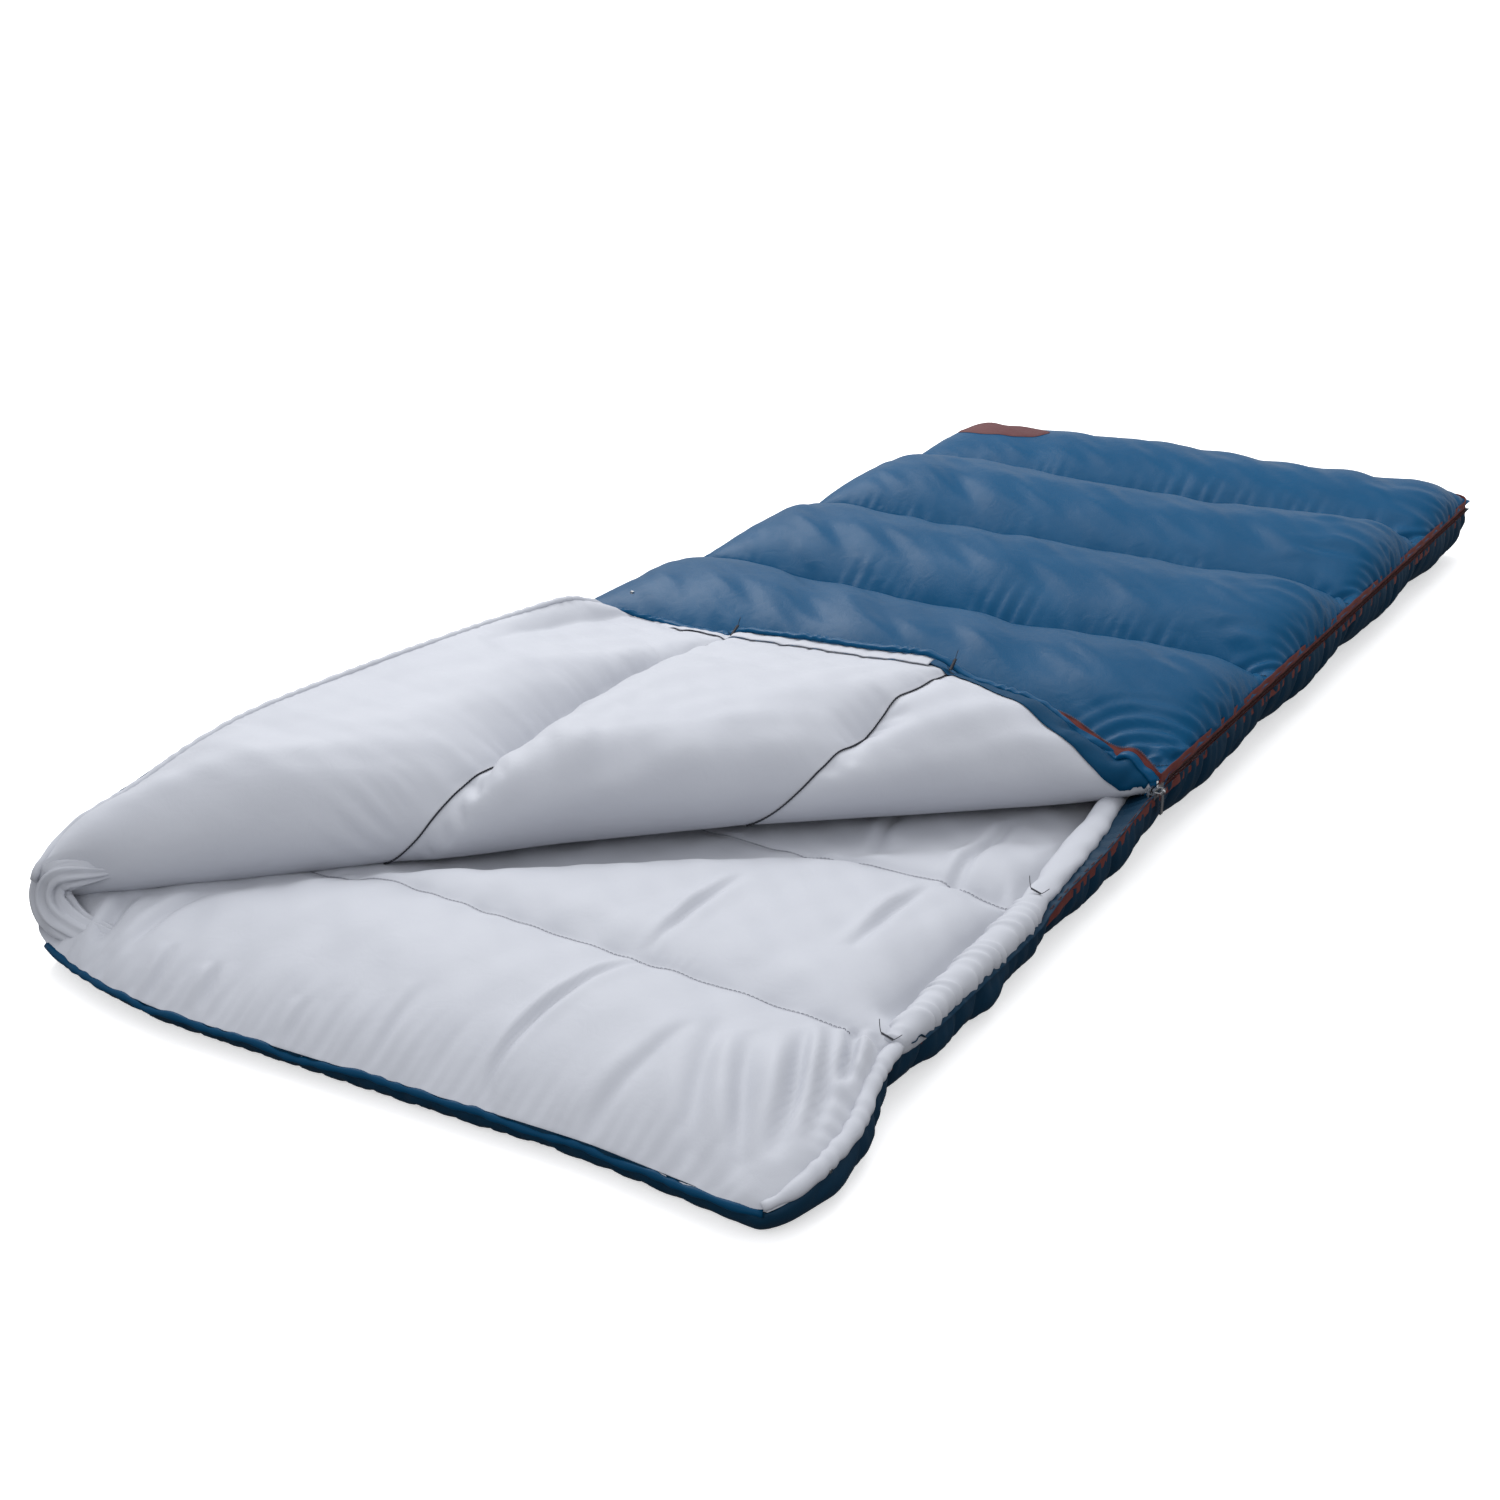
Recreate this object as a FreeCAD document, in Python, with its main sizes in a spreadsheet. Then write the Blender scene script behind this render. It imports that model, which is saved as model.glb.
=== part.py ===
import FreeCAD, Part
import Sketcher
import math
import os

# Rectangular sleeping bag, laid flat on its back quilt, zipped along the right side and across the foot.
# The slider stands part of the way down the side zip, and the loose head corner of the top quilt is
# folded back over the bag along the straight line from the head-left corner to the slider.
#
# Drawing axes, before the move to the bag's own origin: x runs from the fold side (0) to the zip side
# (bag_width), y from the head (0) to the foot (bag_length), z up from the ground.
# The origin of the finished part is the middle of its footprint on the ground.

doc = FreeCAD.newDocument("SleepingBag")

# ---------------------------------------------------------------- driving dimensions, millimetres
sheet = doc.addObject("Spreadsheet::Sheet", "Dims")
sheet.Label = "Dims"

TABLE = [
    ("bag_width", 800.0),        # lofted width, fold side to zip tape
    ("bag_length", 1900.0),      # head hem to foot zip
    ("centre_x", 404.9),         # middle of the footprint across, with the slider's pull
    ("centre_y", 950.7),         # middle of the footprint along, with hem and foot zip
    ("slider_y", 720.0),         # where the slider stands, and where the fold line meets the zip
    ("corner_radius", 30.0),     # foot corner that the zip turns round
    ("head_radius", 25.0),       # rounded head corner at the zip
    ("cloth", 1.0),              # shell, lining and facing, with the stitching they carry
    ("under_top", 41.0),         # top of the back quilt's filling
    ("cavity_top", 70.0),        # underside of the top quilt's lining
    ("upper_top", 108.0),        # top of the top quilt's filling
    ("fold_height", 110.0),      # height of the line the flap turns about
    ("fold_gap", 1.4),           # cut clearance each side of the fold line, measured along the bag
    ("fold_wall", 40.0),         # width of the filled fold along the left side
    ("zip_inset", 30.0),         # quilting stops this far from the zip
    ("flap_start", 8.0),         # the flap's cut starts this far from the fold side
    ("side_start", 45.0),        # the filled fold starts this far from the head
    ("tape_plane", 799.5),       # inner face of the zip tape
    ("tape_thick", 0.6),
    ("coil_in", 798.2),          # inner face of the coil
    ("coil_out", 801.4),         # outer face of the coil
    ("coil_depth", 2.8),         # one half of the chain
    ("zip_height", 75.0),        # middle of the chain above the ground
    ("zip_slot", 1.6),           # between the two halves, where the slider's post runs
    ("tape_reach", 11.4),        # tape beyond its coil
    ("zip_start", 26.0),         # where the chain starts at the head
    ("stop_length", 4.0),
    ("flap_zip_end", 698.0),     # the flap's tape ends just ahead of the slider
    ("slider_length", 24.0),
    ("slider_height", 11.0),
    ("plate_thick", 1.3),
    ("channel_gap", 0.5),        # running gap between slider and coil
    ("post_thick", 1.0),
    ("lip_slot", 1.8),           # opening in the slider's lips for the tape
    ("bridge_reach", 4.6),       # how far the bridge stands off the plate
    ("bridge_bar", 1.4),
    ("bridge_length", 16.0),
    ("bridge_width", 2.0),
    ("eye_out", 2.7),            # the pull's ring
    ("eye_in", 1.6),
    ("eye_wide", 2.4),
    ("tab_length", 24.0),
    ("tab_width", 6.0),
    ("tube_left", 728.0),        # draft tube behind the zip
    ("tube_right", 766.0),
    ("tube_top", 64.0),
    ("thread_wide", 1.2),
    ("thread_high", 0.4),
    ("seam_1", 180.0),           # cross seams, from the head
    ("seam_2", 475.0),
    ("seam_3", 770.0),
    ("seam_4", 1065.0),
    ("seam_5", 1360.0),
    ("seam_6", 1655.0),
    ("patch_x", 52.0),
    ("patch_y", 1782.0),
    ("patch_long", 146.0),
    ("patch_wide", 76.0),
    ("patch_thick", 0.8),
]
VALUES = {}
for row, (alias, value) in enumerate(TABLE, start=1):
    sheet.set("A%d" % row, alias)
    sheet.set("B%d" % row, repr(value))
    sheet.setAlias("B%d" % row, alias)
    VALUES[alias] = value
doc.recompute()


class Dim(object):
    """A length that knows both its number and the sheet formula behind it."""

    def __init__(self, value, text):
        self.value = float(value)
        self.text = text

    @staticmethod
    def of(other):
        return other if isinstance(other, Dim) else Dim(other, repr(float(other)))

    def __add__(self, other):
        other = Dim.of(other)
        return Dim(self.value + other.value, "(%s + %s)" % (self.text, other.text))

    __radd__ = __add__

    def __sub__(self, other):
        other = Dim.of(other)
        return Dim(self.value - other.value, "(%s - %s)" % (self.text, other.text))

    def __rsub__(self, other):
        return Dim.of(other) - self

    def __mul__(self, other):
        other = Dim.of(other)
        return Dim(self.value * other.value, "(%s * %s)" % (self.text, other.text))

    __rmul__ = __mul__

    def __truediv__(self, other):
        other = Dim.of(other)
        return Dim(self.value / other.value, "(%s / %s)" % (self.text, other.text))


def d(alias):
    return Dim(VALUES[alias], "Dims." + alias)


W, L, CX, CY = d("bag_width"), d("bag_length"), d("centre_x"), d("centre_y")
T, INSET = d("cloth"), d("zip_inset")
SLOPE = d("slider_y") / W
GAP = d("fold_gap")
ZC = d("zip_height")
UNDER, CAVITY, UPPER = d("under_top"), d("cavity_top"), d("upper_top")
LIN_U = UNDER + T            # top of the back quilt's lining
LIN_T = CAVITY + T           # top of the top quilt's lining
TOP = UPPER + T              # top of the top quilt's shell
TAPE_IN = d("tape_plane")
TAPE_OUT = TAPE_IN + d("tape_thick")
FACE_IN = TAPE_IN - T
HALF_SLOT = d("zip_slot") / 2
COIL_LOW = ZC - HALF_SLOT - d("coil_depth")
COIL_HIGH = ZC + HALF_SLOT + d("coil_depth")

# the line the flap folds about: from the head-left corner to the slider, at fold_height
FOLD_AXIS = FreeCAD.Vector(VALUES["bag_width"], VALUES["slider_y"], 0.0)
FOLD_AXIS.normalize()
FOLD_POINT = FreeCAD.Vector(-VALUES["centre_x"], -VALUES["centre_y"], VALUES["fold_height"])
FOLDED = FreeCAD.Placement(FreeCAD.Vector(0, 0, 0), FreeCAD.Rotation(FOLD_AXIS, 180.0), FOLD_POINT)

PARTS = []


def keep(obj, name, folded=False):
    """Name a finished sub-part. The flap's pieces are drawn closed and then turned over by their Placement."""
    obj.Label = name
    if folded:
        obj.Placement = FOLDED
    PARTS.append((name, obj))
    return obj


def prism(name, points, low, high, fillets=(), folded=False):
    """A flat panel: an outline padded upwards. fillets: (x, y, radius) of rounded upright corners."""
    body = doc.addObject("PartDesign::Body", name)
    sk = body.newObject("Sketcher::SketchObject", name + "_outline")
    plane = [f for f in body.Origin.OriginFeatures if f.Role == "XY_Plane"][0]
    sk.AttachmentSupport = [(plane, "")]
    sk.MapMode = "FlatFace"
    sk.setExpression(".AttachmentOffset.Base.z", low.text)
    pts = [(px - CX, py - CY) for px, py in points]
    n = len(pts)
    for i in range(n):
        a, b = pts[i], pts[(i + 1) % n]
        sk.addGeometry(
            Part.LineSegment(
                FreeCAD.Vector(a[0].value, a[1].value, 0), FreeCAD.Vector(b[0].value, b[1].value, 0)
            ),
            False,
        )
    for i in range(n):
        sk.addConstraint(Sketcher.Constraint("Coincident", i, 2, (i + 1) % n, 1))
    for i in range(n):
        for axis, value in (("DistanceX", pts[i][0]), ("DistanceY", pts[i][1])):
            c = sk.addConstraint(Sketcher.Constraint(axis, -1, 1, i, 1, value.value))
            label = "%s_%d" % ("px" if axis == "DistanceX" else "py", i)
            sk.renameConstraint(c, label)
            sk.setExpression("Constraints." + label, value.text)
    pad = body.newObject("PartDesign::Pad", name + "_pad")
    pad.Profile = sk
    pad.setExpression("Length", (high - low).text)
    doc.recompute()
    last = pad
    for k, (fx, fy, radius) in enumerate(fillets):
        target = (fx - CX).value, (fy - CY).value
        found = []
        for i, e in enumerate(last.Shape.Edges, start=1):
            a, b = e.Vertexes[0].Point, e.Vertexes[-1].Point
            upright = abs(a.x - b.x) < 1e-6 and abs(a.y - b.y) < 1e-6 and abs(a.z - b.z) > 1e-6
            if upright and abs(a.x - target[0]) < 0.01 and abs(a.y - target[1]) < 0.01:
                found.append("Edge%d" % i)
        if len(found) != 1:
            raise ValueError("%s: corner %d not found" % (name, k))
        fil = body.newObject("PartDesign::Fillet", "%s_round_%d" % (name, k))
        fil.Base = (last, found)
        fil.setExpression("Radius", radius.text)
        doc.recompute()
        last = fil
    body.Tip = last
    return keep(body, name, folded)


def box(name, x, y, z):
    """A Part::Box between pairs of sheet lengths."""
    b = doc.addObject("Part::Box", name)
    b.setExpression("Length", (x[1] - x[0]).text)
    b.setExpression("Width", (y[1] - y[0]).text)
    b.setExpression("Height", (z[1] - z[0]).text)
    b.setExpression(".Placement.Base.x", (x[0] - CX).text)
    b.setExpression(".Placement.Base.y", (y[0] - CY).text)
    b.setExpression(".Placement.Base.z", Dim.of(z[0]).text)
    return b


def fuse(name, shapes):
    f = doc.addObject("Part::MultiFuse", name)
    f.Shapes = shapes
    f.Refine = True
    return f


def cut(name, base, tool):
    c = doc.addObject("Part::Cut", name)
    c.Base = base
    c.Tool = tool
    return c


def group(name, shapes, folded=False):
    g = doc.addObject("Part::Compound", name)
    g.Links = shapes
    return keep(g, name, folded)


def quarter(name, radius, z):
    """A quarter cylinder about the foot corner's centre, open towards the zip side and the foot."""
    c = doc.addObject("Part::Cylinder", name)
    c.Angle = 90.0
    c.setExpression("Radius", radius.text)
    c.setExpression("Height", (z[1] - z[0]).text)
    c.setExpression(".Placement.Base.x", (W - d("corner_radius") - CX).text)
    c.setExpression(".Placement.Base.y", (L - d("corner_radius") - CY).text)
    c.setExpression(".Placement.Base.z", Dim.of(z[0]).text)
    return c


def corner_arc(name, inner, outer, z):
    """The bent stretch of a strip: inner and outer are x positions on the straight side run."""
    r = d("corner_radius")
    return cut(
        name,
        quarter(name + "_outer", r + (outer - W), z),
        quarter(name + "_inner", r + (inner - W), z),
    )


def strip(name, inner, outer, z, start_y, end_x, shared=None):
    """A strip that runs down the zip side, round the foot corner and across the foot."""
    r = d("corner_radius")
    side = box(name + "_side", (inner, outer), (start_y, L - r), z)
    bend = corner_arc(name + "_bend", inner, outer, z)
    foot = box(name + "_foot", (end_x, W - r), (L + (inner - W), L + (outer - W)), z)
    return keep(fuse(name, [side, bend, foot]), name)


ZERO = Dim(0.0, "0.0")
R = d("corner_radius")
RH = d("head_radius")

# ---------------------------------------------------------------- back quilt (on the ground)
rect = lambda x0, x1, y0, y1: [(x0, y0), (x1, y0), (x1, y1), (x0, y1)]
EDGE_X, EDGE_Y = FACE_IN, L + (FACE_IN - W)

prism(
    "outer_shell_bottom",
    rect(ZERO, TAPE_IN, ZERO, L + (TAPE_IN - W)),
    ZERO,
    T,
    [(TAPE_IN, ZERO, RH), (TAPE_IN, L + (TAPE_IN - W), R)],
)
prism(
    "insulation_bottom",
    rect(T, EDGE_X, ZERO, EDGE_Y),
    T,
    UNDER,
    [(EDGE_X, ZERO, RH - T), (EDGE_X, EDGE_Y, R - T)],
)
prism(
    "lining_bottom",
    rect(T, EDGE_X, ZERO, EDGE_Y),
    UNDER,
    LIN_U,
    [(EDGE_X, ZERO, RH - T), (EDGE_X, EDGE_Y, R - T)],
)
keep(box("head_hem_bottom", (T, EDGE_X - RH), (-1.0 * T, ZERO), (T, LIN_U)), "head_hem_bottom")

# ---------------------------------------------------------------- fold along the left side
FW = d("fold_wall")
SY = d("side_start")
keep(
    box("outer_shell_fold", (ZERO, T), (d("flap_start"), L + (TAPE_IN - W)), (T, UPPER)),
    "outer_shell_fold",
)
keep(box("insulation_fold", (T, FW + T), (SY, L - INSET), (LIN_U, CAVITY)), "insulation_fold")
keep(box("lining_fold", (FW + T, FW + T + T), (SY, L - INSET), (LIN_U, CAVITY)), "lining_fold")

# ---------------------------------------------------------------- top quilt, up to the fold line
IN_X, IN_Y = W - INSET, L - INSET
quilt_top = [
    (T, SLOPE * T + GAP),
    (IN_X, SLOPE * IN_X + GAP),
    (IN_X, IN_Y),
    (T, IN_Y),
]
prism("lining_top", quilt_top, CAVITY, LIN_T)
prism("insulation_top", quilt_top, LIN_T, UPPER)
SHELL_X, SHELL_Y = TAPE_IN, L + (TAPE_IN - W)
prism(
    "outer_shell_top",
    [(ZERO, GAP), (SHELL_X, SLOPE * SHELL_X + GAP), (SHELL_X, SHELL_Y), (ZERO, SHELL_Y)],
    UPPER,
    TOP,
    [(SHELL_X, SHELL_Y, R)],
)

# reinforcing patch at the foot-left corner
PX, PY, PL, PW = d("patch_x"), d("patch_y"), d("patch_long"), d("patch_wide")
PR = PW / 2 - 0.5
prism(
    "corner_patch",
    rect(PX, PX + PL, PY, PY + PW),
    TOP,
    TOP + d("patch_thick"),
    [(PX, PY, PR), (PX + PL, PY, PR), (PX + PL, PY + PW, PR), (PX, PY + PW, PR)],
)

# ---------------------------------------------------------------- zip facings
FT = ZC + 9.0
LOWZ, HIGHZ = (T, ZC - 9.0), (FT, UPPER)
keep(
    box("zip_facing_bottom_side", (FACE_IN, TAPE_IN), (RH, L - R), LOWZ), "zip_facing_bottom_side"
)
keep(
    fuse(
        "zip_facing_bottom_foot",
        [
            corner_arc("zfb_bend", FACE_IN, TAPE_IN, LOWZ),
            box("zfb_foot", (T, W - R), (EDGE_Y, SHELL_Y), LOWZ),
        ],
    ),
    "zip_facing_bottom_foot",
)
keep(
    box("zip_facing_top_side", (FACE_IN, TAPE_IN), (d("slider_y") + 6.0, L - R), HIGHZ),
    "zip_facing_top_side",
)
keep(
    fuse(
        "zip_facing_top_foot",
        [
            corner_arc("zft_bend", FACE_IN, TAPE_IN, HIGHZ),
            box("zft_foot", (T, W - R), (EDGE_Y, SHELL_Y), HIGHZ),
        ],
    ),
    "zip_facing_top_foot",
)

# ---------------------------------------------------------------- zip: tapes and coils, side and foot
REACH = d("tape_reach")
BOX_END, PIN_END = 14.0, 24.0
ZS, SL = d("zip_start"), d("stop_length")
strip("zip_tape_bottom", TAPE_IN, TAPE_OUT, (COIL_LOW - REACH, COIL_LOW), ZS, Dim.of(BOX_END))
strip(
    "zip_tape_top",
    TAPE_IN,
    TAPE_OUT,
    (COIL_HIGH, COIL_HIGH + REACH),
    d("slider_y") + 6.0,
    Dim.of(PIN_END),
)
strip("zip_coil_bottom", d("coil_in"), d("coil_out"), (COIL_LOW, ZC - HALF_SLOT), ZS + SL, Dim.of(BOX_END))
strip(
    "zip_coil_top",
    d("coil_in"),
    d("coil_out"),
    (ZC + HALF_SLOT, COIL_HIGH),
    d("slider_y") + 6.0,
    Dim.of(PIN_END),
)
keep(
    box(
        "zip_stop_bottom",
        (d("coil_in"), d("coil_out")),
        (ZS, ZS + SL),
        (COIL_LOW, ZC - HALF_SLOT),
    ),
    "zip_stop_bottom",
)

# separating end at the foot-left corner
YB = L + 2.4
keep(
    box("retaining_box", (Dim.of(4.0), Dim.of(BOX_END)), (L - 2.4, YB), (ZC - 5.0, ZC + 0.4)),
    "retaining_box",
)
keep(
    box(
        "insertion_pin", (Dim.of(4.0), Dim.of(PIN_END)), (L - 1.6, L + 1.4), (ZC + 0.4, ZC + 3.4)
    ),
    "insertion_pin",
)

# ---------------------------------------------------------------- draft tube behind the zip
TL, TR, TT = d("tube_left"), d("tube_right"), d("tube_top")
TUBE_Y = (Dim.of(12.0), L - 42.0)
keep(
    cut(
        "draft_tube_cover",
        box("dt_outside", (TL, TR), TUBE_Y, (LIN_U, TT)),
        box("dt_inside", (TL + T, TR - T), (TUBE_Y[0] - 5.0, TUBE_Y[1] + 5.0), (LIN_U - 5.0, TT - T)),
    ),
    "draft_tube_cover",
)
keep(box("draft_tube_filling", (TL + T, TR - T), TUBE_Y, (LIN_U, TT - T)), "draft_tube_filling")

# ---------------------------------------------------------------- quilting thread and bar tacks
SEAMS = [d("seam_%d" % i) for i in range(1, 7)]
TW, TH = d("thread_wide") / 2, d("thread_high")


def thread(name, seam, x0, x1, low):
    return box(name, (x0, x1), (seam - TW, seam + TW), (low, low + TH))


group(
    "quilting_thread_bottom",
    [thread("qb_%d" % i, s, FW + 8.0, TL - 2.0, LIN_U) for i, s in enumerate(SEAMS)],
)
group(
    "quilting_thread_top",
    [
        thread(
            "qt_%d" % i,
            s,
            Dim.of(6.0),
            (s / SLOPE - 6.0) if s.value < VALUES["slider_y"] else (W - 8.0),
            TOP,
        )
        for i, s in enumerate(SEAMS)
    ],
)
TACK = 1.5
group(
    "bar_tacks_bottom",
    [
        box("bt_%d" % i, (W - 26.0, W - 12.0), (SEAMS[i] - TACK, SEAMS[i] + TACK), (LIN_U, LIN_U + 1.0))
        for i in range(2)
    ],
)

# ---------------------------------------------------------------- flap: the loose corner of the top quilt
FS = d("flap_start")
flap_quilt = [(FS, ZERO), (IN_X, ZERO), (IN_X, SLOPE * IN_X - GAP), (FS, SLOPE * FS - GAP)]
prism("flap_lining", flap_quilt, CAVITY, LIN_T, folded=True)
prism("flap_insulation", flap_quilt, LIN_T, UPPER, folded=True)
prism(
    "flap_outer_shell",
    [(FS, ZERO), (SHELL_X, ZERO), (SHELL_X, SLOPE * SHELL_X - GAP), (FS, SLOPE * FS - GAP)],
    UPPER,
    TOP,
    [(SHELL_X, ZERO, RH)],
    folded=True,
)
FZE = d("flap_zip_end")
prism("flap_zip_facing", rect(FACE_IN, TAPE_IN, ZS, FZE), FT, UPPER, folded=True)
prism("flap_zip_tape", rect(TAPE_IN, TAPE_OUT, ZS, FZE), COIL_HIGH, COIL_HIGH + REACH, folded=True)
prism(
    "flap_zip_coil",
    rect(d("coil_in"), d("coil_out"), ZS + SL, FZE),
    ZC + HALF_SLOT,
    COIL_HIGH,
    folded=True,
)
prism(
    "flap_zip_stop",
    rect(d("coil_in"), d("coil_out"), ZS, ZS + SL),
    ZC + HALF_SLOT,
    COIL_HIGH,
    folded=True,
)
prism("flap_head_hem", rect(FS, IN_X, -1.0 * T, ZERO), CAVITY, TOP, folded=True)
group(
    "flap_quilting_thread",
    [
        thread("qf_%d" % i, SEAMS[i], SEAMS[i] / SLOPE + 6.0, IN_X - 16.0, CAVITY - TH)
        for i in range(2)
    ],
    folded=True,
)
group(
    "flap_bar_tacks",
    [
        box("ft_%d" % i, (IN_X - 14.0, IN_X - 1.0), (SEAMS[i] - TACK, SEAMS[i] + TACK), (CAVITY - 1.0, CAVITY))
        for i in range(2)
    ],
    folded=True,
)

# ---------------------------------------------------------------- slider: two plates, post, lips and two bridges
PT, CG = d("plate_thick"), d("channel_gap")
SLY, HL, HH = d("slider_y"), d("slider_length") / 2, d("slider_height") / 2
IN_FACE, OUT_FACE = d("coil_in") - CG, d("coil_out") + CG
SZ = (ZC - HH, ZC + HH)
SYR = (SLY - HL, SLY + HL)
outer_plate = box("sl_outer_plate", (OUT_FACE, OUT_FACE + PT), SYR, SZ)
inner_plate = box("sl_inner_plate", (IN_FACE - PT, IN_FACE), SYR, SZ)
PH = d("post_thick") / 2
post = box("sl_post", (IN_FACE, OUT_FACE), (SLY - HL, SLY - HL + 6.0), (ZC - PH, ZC + PH))
MID = (TAPE_IN + TAPE_OUT) / 2
LS = d("lip_slot") / 2
lips = []
for tag, zr in (
    ("low", (ZC - HH, COIL_LOW - CG)),
    ("high", (COIL_HIGH + CG, ZC + HH)),
):
    lips.append(box("sl_lip_in_" + tag, (IN_FACE, MID - LS), SYR, zr))
    lips.append(box("sl_lip_out_" + tag, (MID + LS, OUT_FACE), SYR, zr))
BR, BB, BL, BW = d("bridge_reach"), d("bridge_bar"), d("bridge_length") / 2, d("bridge_width") / 2
BYR = (SLY - BL, SLY + BL)
outer_bridge = cut(
    "sl_outer_bridge",
    box("sl_ob_block", (OUT_FACE + PT, OUT_FACE + PT + BR), BYR, (ZC - BW, ZC + BW)),
    box(
        "sl_ob_window",
        (OUT_FACE + PT, OUT_FACE + PT + BR - BB),
        (SLY - BL + 2.0, SLY + BL - 2.0),
        (ZC - BW - 2.0, ZC + BW + 2.0),
    ),
)
inner_bridge = cut(
    "sl_inner_bridge",
    box("sl_ib_block", (IN_FACE - PT - BR, IN_FACE - PT), BYR, (ZC - BW, ZC + BW)),
    box(
        "sl_ib_window",
        (IN_FACE - PT - BR + BB, IN_FACE - PT),
        (SLY - BL + 2.0, SLY + BL - 2.0),
        (ZC - BW - 2.0, ZC + BW + 2.0),
    ),
)
keep(
    fuse("slider_body", [outer_plate, inner_plate, post] + lips + [outer_bridge, inner_bridge]),
    "slider_body",
)


def pull(name, bar_x):
    """A ring round the slider's bridge bar with a flat tab hanging from it."""
    ring_out = doc.addObject("Part::Cylinder", name + "_ring_out")
    ring_in = doc.addObject("Part::Cylinder", name + "_ring_in")
    wide = d("eye_wide")
    for c, radius, extra in ((ring_out, d("eye_out"), 0.0), (ring_in, d("eye_in"), 1.0)):
        c.setExpression("Radius", radius.text)
        c.setExpression("Height", (wide + 2 * extra).text)
        # turned so that the ring's axis runs along the bag
        c.Placement = FreeCAD.Placement(
            FreeCAD.Vector(0, 0, 0), FreeCAD.Rotation(FreeCAD.Vector(1, 0, 0), 90.0)
        )
        c.setExpression(".Placement.Base.x", (bar_x - CX).text)
        c.setExpression(".Placement.Base.y", (SLY + wide / 2 + extra - CY).text)
        c.setExpression(".Placement.Base.z", ZC.text)
    tab = box(
        name + "_tab",
        (bar_x - BB / 2, bar_x + BB / 2),
        (SLY - d("tab_width") / 2, SLY + d("tab_width") / 2),
        (ZC - d("tab_length"), ZC - d("eye_out") + 0.6),
    )
    return keep(cut(name, fuse(name + "_blank", [ring_out, tab]), ring_in), name)


OUTER_BAR = OUT_FACE + PT + BR - BB / 2
INNER_BAR = IN_FACE - PT - BR + BB / 2
pull("outer_pull", OUTER_BAR)
pull("inner_pull", INNER_BAR)

# ---------------------------------------------------------------- checks and export
doc.recompute()
bad = [
    "%s (%s)" % (o.Name, ", ".join(o.State))
    for o in doc.Objects
    if "Invalid" in o.State or "Error" in o.State
]
if bad:
    raise RuntimeError("failed objects: " + "; ".join(bad))
for name, obj in PARTS:
    shape = obj.Shape
    if shape.isNull() or not shape.isValid() or not shape.Solids:
        raise RuntimeError("bad shape: " + name)

os.makedirs("parts", exist_ok=True)
total = 0.0
low = [1e9] * 3
high = [-1e9] * 3
for name, obj in PARTS:
    obj.Shape.exportStep("parts/%s.step" % name)
    bb = obj.Shape.BoundBox
    for k, (a, b) in enumerate(((bb.XMin, bb.XMax), (bb.YMin, bb.YMax), (bb.ZMin, bb.ZMax))):
        low[k], high[k] = min(low[k], a), max(high[k], b)
    total += obj.Shape.Volume
    print("%-26s %d solid(s) %12.0f mm3" % (name, len(obj.Shape.Solids), obj.Shape.Volume))
print("nodes", len(PARTS), "volume", round(total / 1e9, 5), "m3")
print("box", [round(v, 3) for v in low], [round(v, 3) for v in high])
print("bars", OUTER_BAR.value, INNER_BAR.value)
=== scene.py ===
import bpy, math
import numpy as np
from mathutils import Matrix, Vector


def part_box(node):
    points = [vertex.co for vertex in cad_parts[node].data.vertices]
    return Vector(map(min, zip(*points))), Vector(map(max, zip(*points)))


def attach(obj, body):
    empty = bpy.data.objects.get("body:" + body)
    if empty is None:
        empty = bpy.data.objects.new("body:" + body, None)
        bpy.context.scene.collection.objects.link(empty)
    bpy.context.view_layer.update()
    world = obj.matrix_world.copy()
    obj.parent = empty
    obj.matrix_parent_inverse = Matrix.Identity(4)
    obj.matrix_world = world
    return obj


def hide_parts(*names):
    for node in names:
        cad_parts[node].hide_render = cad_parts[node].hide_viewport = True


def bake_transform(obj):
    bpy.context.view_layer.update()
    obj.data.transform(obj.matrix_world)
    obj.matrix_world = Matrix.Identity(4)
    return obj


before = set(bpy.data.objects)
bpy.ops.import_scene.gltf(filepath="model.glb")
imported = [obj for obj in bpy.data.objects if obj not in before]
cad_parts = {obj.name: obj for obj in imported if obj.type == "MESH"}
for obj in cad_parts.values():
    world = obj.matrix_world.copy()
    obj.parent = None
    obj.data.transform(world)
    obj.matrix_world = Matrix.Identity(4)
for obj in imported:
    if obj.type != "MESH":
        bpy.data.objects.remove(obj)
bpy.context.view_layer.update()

# ---------------------------------------------------------------- frame
# Cloth is laid out in "bag" metres: x from the fold side to the zip side, y from the head to the foot.
OX = float(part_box("outer_shell_fold")[0][0])
OY = float(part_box("head_hem_bottom")[1][1])
OFF = np.array([OX, OY, 0.0])
W, L = 0.80, 1.90
SEAMS = [0.18, 0.475, 0.77, 1.065, 1.36, 1.655]
FL = math.hypot(0.80, 0.72)
TA = np.array([0.80, 0.72]) / FL          # along the fold line, from the fold side to the slider
NA = np.array([-TA[1], TA[0]])            # across it, towards the foot


def ss(a, b, x):
    t = np.clip((np.asarray(x, float) - a) / (b - a), 0, 1)
    return t * t * (3 - 2 * t)


def wav(x, y, scale, seed, n=8):
    r = np.random.RandomState(seed)
    out = 0
    for i in range(n):
        a, l, p = r.rand() * math.tau, scale * (0.6 + 0.9 * r.rand()), r.rand() * math.tau
        out = out + np.sin((np.cos(a) * x + np.sin(a) * y) * math.tau / l + p)
    return out / math.sqrt(n / 2)


def mix(a, b, w):
    return a * (1 - w) + b * w


def tab(x, xs, ys):
    return np.interp(x, xs, ys)


# ---------------------------------------------------------------- cloth solver
def dist(a, b):
    return np.sqrt(((a - b) ** 2).sum(0))


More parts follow.
